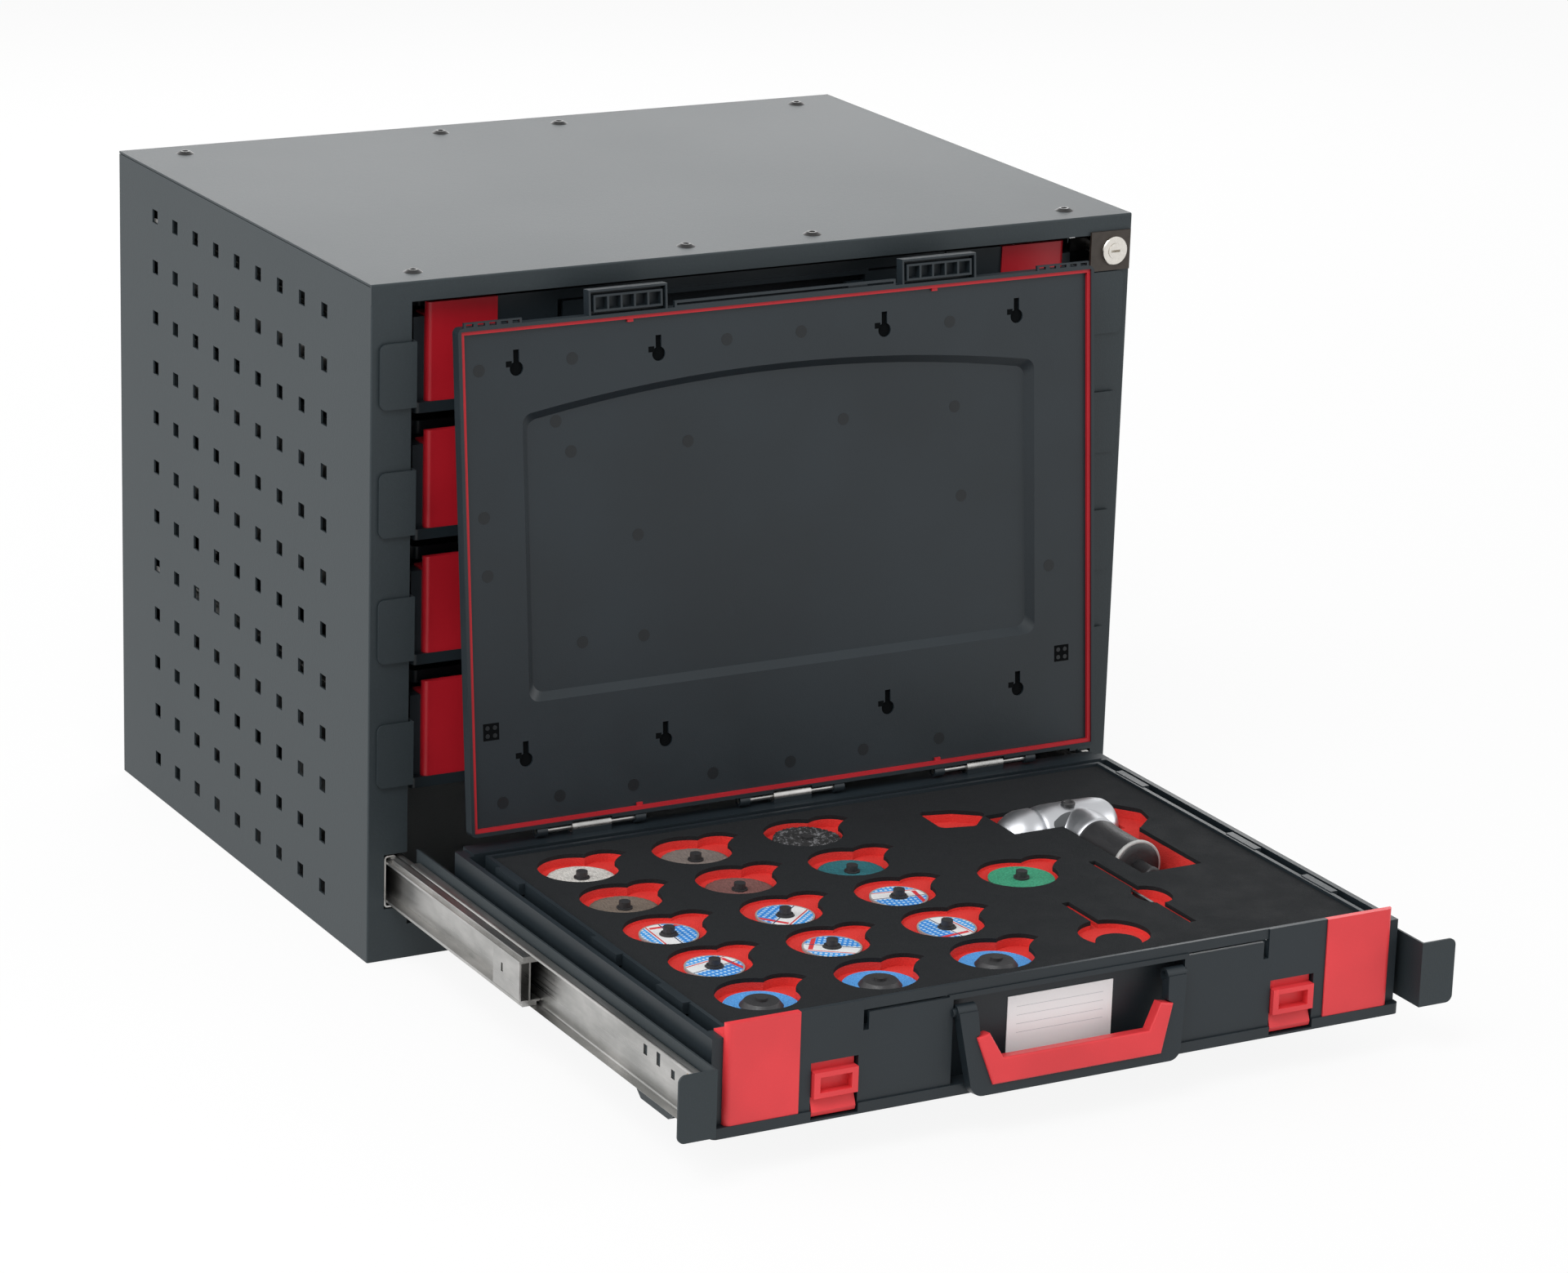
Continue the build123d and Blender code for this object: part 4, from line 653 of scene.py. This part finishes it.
def fleece_disc(bm, x, y, thickness, rough):
    """One fluffy disc: a dense round grid with a ragged rim and an uneven face."""
    middle = case(x, y - DISC_SHIFT, FLEECE_Z)
    inner = FLEECE_RADIUS - FLEECE_RIM
    face = thickness - rough
    rings = [(FLEECE_RADIUS * k / FLEECE_RINGS, face, 0.0) for k in range(1, FLEECE_RINGS)]
    rings += [(inner, face - FLEECE_RIM, RIM_FRAY), (FLEECE_RADIUS, thickness / 2, EDGE_FRAY),
              (inner, rough + FLEECE_LIFT, RIM_FRAY)]
    loops = [fleece_ring(bm, middle, radius, height, rough, fray)
             for radius, height, fray in rings]
    join_rings(bm, loops)
    bm.faces.new(loops[0])
    bm.faces.new(list(reversed(loops[-1])))


def add_fleece():
    """Six fleece discs in the two back rows, the last of a coarse open kind."""
    bm = bmesh.new()
    for row in (3, 4):
        for column in range(3):
            coarse = row == 4 and column == 2
            fleece_disc(bm, FIRST_DISC[0] + column * DISC_PITCH[0],
                        FIRST_DISC[1] + row * DISC_PITCH[1],
                        *(FLEECE_COARSE if coarse else FLEECE_FINE))
    discs = piece("fleece_discs_soft", finished(bm, "fleece_discs_soft"), "fleece", "drawer_5")
    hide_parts("fleece_discs")


# Air tool. Its profiles are (distance along the axis, radius) in the case's millimetres

TOOL_Z = 54.0
HEAD_Y = 276.0
GRIP_X = 172.0
KNOB_X, KNOB_Y = GRIP_X - 6, HEAD_Y - 3.5
HEAD_PROFILE = [(141, 17.5), (143, 19.4), (150, 20.4), (170, 20.4), (190, 20.2), (198, 18.6),
                (202.6, 15), (203, 10)]
NECK_PROFILE = [(-278, 16.5), (-262, 19), (-250, 19.2), (-241, 18.4), (-240, 15)]
NOSE_PROFILE = [(113.2, 8), (113.6, 11), (117, 14), (124, 18), (128, 19.1), (138, 19.3),
                (139.2, 18.2), (142.5, 17.6)]
SLEEVE_PROFILE = [(-242, 17.4), (-238, 17.9), (-225, 17.2), (-205, 17.2), (-196, 17.9),
                  (-192, 17.6), (-189, 17.4), (-188.3, 16.6), (-187.8, 12)]
INLET_PROFILE = [(-192, 6.0), (-172, 6.0), (-171.6, 6.5), (-169, 6.5), (-168.2, 5.4)]
RING_PROFILE = [(-192.4, 14), (-192.4, 18.4), (-191.8, 19.3), (-189.8, 19.3), (-189.0, 18.6),
                (-189.2, 17.6), (-190.5, 14)]
KNOB_PROFILE = [(15, 4.6), (19.8, 4.6), (20.2, 5.0), (21.8, 5.0), (22.3, 4.5), (22.3, 2.6),
                (21.6, 2.2)]
SMALL_AROUND = 48
SKIN_VOXEL = 0.9 * MM
SKIN_ROUNDS = 30

# The head's side pad: its middle, tilt and half sizes round the head, and its height over it
PAD_X = 168
PAD_TILT = math.radians(34)
PAD_HALF_LENGTH = 21
PAD_HALF_ANGLE = 0.5
PAD_BASE, PAD_RISE, PAD_SINK = 20.4, 0.75, 0.35
PAD_AROUND = 56
PAD_RINGS = 7


def turned(bm, profile, place, axis, around=72):
    """Turn a profile about an axis through a place."""
    side = UP if abs(axis.z) < 0.9 else RIGHT
    other = axis.cross(side)
    loops = []
    for along, radius in profile:
        loop = []
        for k in range(around):
            turn = math.tau * k / around
            out = side * math.cos(turn) + other * math.sin(turn)
            loop.append(bm.verts.new(place + (axis * along + out * radius) * MM))
        loops.append(loop)
    join_rings(bm, loops)
    bm.faces.new(list(reversed(loops[0])))
    bm.faces.new(loops[-1])


def turned_mesh(name, *forms):
    """The mesh of one or more turned forms, each given as turned takes it."""
    bm = bmesh.new()
    for form in forms:
        turned(bm, *form)
    return finished(bm, name)


def melted(mesh, name):
    """One skin round overlapping forms, with the joints between them smoothed."""
    blank = new_object(name + "_blank", mesh)
    skin = blank.modifiers.new("skin", "REMESH")
    skin.mode = "VOXEL"
    skin.voxel_size = SKIN_VOXEL
    soft = blank.modifiers.new("soft", "SMOOTH")
    soft.factor = 0.5
    soft.iterations = SKIN_ROUNDS
    mesh = shaped(blank)
    mesh.name = name
    for polygon in mesh.polygons:
        polygon.use_smooth = True
    return mesh


def oval_pad():
    """An oval pad that follows the round head, proud in its middle and sunk at its rim."""
    bm = bmesh.new()
    loops = []
    for k in range(1, PAD_RINGS + 1):
        share = k / PAD_RINGS
        radius = PAD_BASE + PAD_RISE * (1 - share ** 4) - PAD_SINK * share ** 8
        loop = []
        for n in range(PAD_AROUND):
            angle = math.tau * n / PAD_AROUND
            turn = PAD_TILT + PAD_HALF_ANGLE * share * math.sin(angle)
            loop.append(bm.verts.new(case(
                PAD_X + PAD_HALF_LENGTH * share * math.cos(angle),
                HEAD_Y - radius * math.cos(turn), TOOL_Z + radius * math.sin(turn))))
        loops.append(loop)
    join_rings(bm, loops)
    bm.faces.new(list(reversed(loops[0])))
    return finished(bm, "tool_pad")


def add_tool():
    """Air tool: head with its neck, nose, sleeve with the air inlet, end ring, knob and pad."""
    head_at = case(0, HEAD_Y, TOOL_Z)
    grip_at = case(GRIP_X, 0, TOOL_Z)
    knob_at = case(KNOB_X, KNOB_Y, TOOL_Z)
    head = turned_mesh("tool_head", (HEAD_PROFILE, head_at, RIGHT),
                       (NECK_PROFILE, grip_at, FORWARD))
    body = piece("tool_head_skin", melted(head, "tool_head_skin"), "tool_metal", "drawer_5")
    nose = piece("tool_nose", turned_mesh("tool_nose", (NOSE_PROFILE, head_at, RIGHT)),
                 "tool_metal", "drawer_5")
    sleeve = turned_mesh("tool_sleeve", (SLEEVE_PROFILE, grip_at, FORWARD),
                         (INLET_PROFILE, grip_at, FORWARD, SMALL_AROUND))
    grip = piece("tool_sleeve", sleeve, "dark_rubber", "drawer_5")
    ring = piece("tool_end_ring", turned_mesh("tool_end_ring", (RING_PROFILE, grip_at, FORWARD)),
                 "tool_metal", "drawer_5", PALE_RING)
    knob = piece("tool_knob", turned_mesh("tool_knob", (KNOB_PROFILE, knob_at, UP, SMALL_AROUND)),
                 "dark_rubber", "drawer_5")
    pad = piece("tool_pad", oval_pad(), "tool_metal", "drawer_5", DARK_SATIN)
    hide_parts("tool_grip")
    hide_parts("tool_body")
    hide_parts("tool_body")
    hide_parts("tool_body")
    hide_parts("tool_body")
    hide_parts("tool_grip")


# Rail clips: plates from y0 to y1 and z0 to z1 in millimetres, with their thickness in sheets,
# and the clip's stand from the inner face of the rail

CLIP_PLATES = ((0, 8, -13, 13, 1.0), (8, 17, -13, -6, 1.0), (8, 17, 6, 13, 1.0),
               (17, 21, -13, 13, 1.0), (-3, 0, -7, 7, 2.6), (9.5, 15.5, -4.5, 4.5, 2.2))
CLIP_THICKNESS = 0.9 * MM
CLIP_FROM_FRONT = 12 * MM
CLIP_EDGE = 0.3 * MM
CLIP_STAND = 1.4 * MM
RAIL_DEPTH = 9.0 * MM
BOX_FACES = ((0, 1, 3, 2), (4, 6, 7, 5), (0, 4, 5, 1), (2, 3, 7, 6), (0, 2, 6, 4), (1, 5, 7, 3))


def box_into(bm, low, high):
    """A box between two points of the row's frame, in metres."""
    corners = [bm.verts.new((x, y, z)) for x in (low[0], high[0]) for y in (low[1], high[1])
               for z in (low[2], high[2])]
    for quad in BOX_FACES:
        bm.faces.new([corners[k] for k in quad])


def add_rail_clips():
    """Bent release clip in the front end of each drawer rail, with its two slots and rivet."""
    for k in LEVELS:
        low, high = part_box(f"drawer_rails_{k}")
        front = low[1] + CLIP_FROM_FRONT
        middle = (low[2] + high[2]) / 2
        bm = bmesh.new()
        for side in (-1, 1):
            base = side * (0.5 * (high[0] - low[0]) - RAIL_DEPTH + CLIP_STAND)
            for y0, y1, z0, z1, sheets in CLIP_PLATES:
                face = base + side * CLIP_THICKNESS * sheets
                box_into(bm, (base, front + y0 * MM, middle + z0 * MM),
                         (face, front + y1 * MM, middle + z1 * MM))
        clip = piece(f"rail_clip_{k}", finished(bm, f"rail_clip_{k}", smooth=False),
                     "bracket_steel", f"drawer_{k}", CLIP_STEEL)
        edge = clip.modifiers.new("edge", "BEVEL")
        edge.width = CLIP_EDGE
        edge.segments = 2


# Marks on the lid's inner face, placed in the case's millimetres as if the lid were closed

KEYHOLES = [(x, y) for x in (-206.0, -98.0, 80.0, 188.0) for y in (53.0, 325.0)]
KEYHOLE_RADIUS = 4.9
KEYHOLE_SLOT = (-2.1, 2.1, -12.9, -3)
KEYHOLE_NOTCH = (-7.8, -3.4, -5.5, -1.5)
BESIDE_KEYHOLE = (9, -3)
KEYHOLE_PROUD, SLOT_PROUD, FLAT_PROUD, EJECTOR_PROUD, DOT_PROUD = 0.4, 0.3, 0.12, 0.1, 0.3
EJECTORS = [(-234, 52), (-164, 50), (-45, 48), (13.5, 48), (133, 52), (-175, 93), (-164, 115),
            (-74, 117), (-114, 178.5), (49, 114), (139.5, 114), (144.5, 179), (-158.5, 249),
            (-111, 250), (-233, 153), (-231.5, 193.5), (214.5, 237), (-224.5, 353), (-181, 354),
            (-124, 354), (-61.5, 354), (0.4, 354), (59.5, 353), (122, 353)]
EJECTOR_RADIUS = 4.4
DOT_SQUARES = [(-232, 302), (225, 303)]
DOT_SQUARE = (-6, 6, -6, 6)
DOT_OFFSETS = (-2.8, 2.8)
DOT_RADIUS = 1.6
SUNK = 0.05

# Height from which the lid's inner face is looked for, and the lid's hinge line and opening
RAY_FROM = 30
LID_LINE = (377.0, 72.5)
LID_TURN = math.radians(-95.2)


def raised(x, y, z):
    """A point of the closed lid where the open lid has it, in the row's frame."""
    y0, z0 = LID_LINE
    cos, sin = math.cos(LID_TURN), math.sin(LID_TURN)
    return case(x, y0 + (y - y0) * cos - (z - z0) * sin, z0 + (y - y0) * sin + (z - z0) * cos)


def inner_face(x, y):
    """Height of the closed lid's inner face above a point of the case."""
    lid = NODES["open_case_lid"]
    back = lid.matrix_world.inverted()
    start = raised(x, y, RAY_FROM)
    way = (raised(x, y, RAY_FROM + 1) - start).normalized()
    met = lid.ray_cast(back @ start, back.to_3x3() @ way)[1]
    return RAY_FROM + (lid.matrix_world @ met - start).length / MM


def plate(bm, outline, face, proud):
    """A thin plate on the lid's inner face, sunk a little into it."""
    low, high = ([bm.verts.new(raised(x, y, z)) for x, y in outline]
                 for z in (face + SUNK, face - proud))
    join_rings(bm, (low, high))
    bm.faces.new(list(reversed(low)))
    bm.faces.new(high)


def round_outline(x, y, radius, around=28):
    """A circle's points round a point."""
    turns = [math.tau * k / around for k in range(around)]
    return [(x + radius * math.cos(turn), y + radius * math.sin(turn)) for turn in turns]


def square_outline(x, y, sides):
    """A rectangle's corners, from its sides' distances to a point."""
    left, right, low, high = sides
    return [(x + left, y + low), (x + right, y + low),
            (x + right, y + high), (x + left, y + high)]


def marks(name, material, plates):
    """A piece on the lid, made of plates, each given as plate takes it."""
    bm = bmesh.new()
    for each in plates:
        plate(bm, *each)
    piece(name, finished(bm, name, smooth=False), "case_plastic", "lid", material)


def add_lid_marks():
    """Near-black plates of painted shade in the keyholes and their side notches, ejector marks,
    and two four-dot squares on plates of the same painted shade.
    """
    painted_shade_plates = []
    for x, y in KEYHOLES:
        depth = inner_face(x, y)
        beside = inner_face(x + BESIDE_KEYHOLE[0], y + BESIDE_KEYHOLE[1])
        # Near-black plates in each keyhole and its side notch: painted shade
        painted_shade_plates += [(round_outline(x, y, KEYHOLE_RADIUS), depth, KEYHOLE_PROUD),
                   (square_outline(x, y, KEYHOLE_SLOT), depth, SLOT_PROUD),
                   (square_outline(x, y, KEYHOLE_NOTCH), beside, FLAT_PROUD)]
    marks("lid_keyholes_painted_shade", PAINTED_SHADE_FLOOR, painted_shade_plates)
    marks("lid_ejector_marks", MOULD_MARK,
          [(round_outline(x, y, EJECTOR_RADIUS), inner_face(x, y), EJECTOR_PROUD)
           for x, y in EJECTORS])
    faces = [(x, y, inner_face(x, y)) for x, y in DOT_SQUARES]
    # The four-dot squares sit on plates of the same painted shade
    marks("lid_dot_squares", PAINTED_SHADE_FLOOR,
          [(square_outline(x, y, DOT_SQUARE), face, FLAT_PROUD) for x, y, face in faces])
    marks("lid_dots", MOULD_MARK,
          [(round_outline(x + dx, y + dy, DOT_RADIUS), face, DOT_PROUD)
           for x, y, face in faces for dx in DOT_OFFSETS for dy in DOT_OFFSETS])


# Stage and light: the floor and the world show near to white, and light the object less

FLOOR_SIZE = 12
FLOOR_DROP = 0.5 * MM
FLOOR_GREY = (0.8, 0.8, 0.8, 1)
FLOOR_GLOW = 0.9
SKY_LIGHT = 0.55
SKY_SHOWN = 1.0

# Each lamp's name, place, target, size and watts
LAMPS = (
    ("key", (-1.6, -1.6, 2.6), (0, -0.3, 0.2), (1.6, 1.6), 55),
    ("top_back", (0.9, 2.6, 1.5), (0, 0, 0.4), (3.0, 1.6), 32),
    ("right_fill", (2.6, -1.8, 1.2), (0, -0.3, 0.2), (1.4, 1.6), 22),
    ("left_fill", (-2.4, 0.2, 1.1), (-0.3, 0, 0.3), (1.4, 1.4), 26),
)


def add_stage():
    """A pale floor that shows nearly white and keeps the object's shadow."""
    mesh = bpy.data.meshes.new("floor")
    bm = bmesh.new()
    bmesh.ops.create_grid(bm, x_segments=1, y_segments=1, size=FLOOR_SIZE)
    bm.to_mesh(mesh)
    bm.free()
    floor = new_object("floor", mesh)
    floor.location.z = -FLOOR_DROP
    m = Finish("pale_floor", Base_Color=FLOOR_GREY, Roughness=0.8)
    glow = m.add("ShaderNodeEmission", sockets={"Color": WHITE, "Strength": 1.0})
    surface = m.add("ShaderNodeMixShader",
                    sockets={0: m.shown_rays() * FLOOR_GLOW,
                             1: Value(m, m.shader.outputs[0]), 2: glow})
    m.feed(m.tree.nodes["Material Output"], {"Surface": surface})
    mesh.materials.append(m.data)


def add_lamp(name, place, target, size, watts):
    """A soft rectangular lamp at a place, turned to a target."""
    data = bpy.data.lights.new(name, "AREA")
    data.shape = "RECTANGLE"
    data.size, data.size_y = size
    data.energy = watts
    lamp = new_object(name, data)
    lamp.location = place
    lamp.rotation_euler = (Vector(target) - Vector(place)).to_track_quat("-Z", "Y").to_euler()
    lamp.visible_camera = False


def add_light():
    """A pale world that shows white, and four soft lamps."""
    world = bpy.data.worlds.new("studio")
    sky = Nodes(world)
    strength = sky.shown_rays() * (SKY_SHOWN - SKY_LIGHT) + SKY_LIGHT
    sky.feed(sky.tree.nodes["Background"], {"Color": WHITE, "Strength": strength})
    bpy.context.scene.world = world
    for lamp in LAMPS:
        add_lamp(*lamp)
    bpy.context.scene.view_settings.view_transform = "Standard"


add_camera()
dress_nodes()
add_foam()
add_fleece()
add_tool()
add_rail_clips()
add_lid_marks()
add_stage()
add_light()
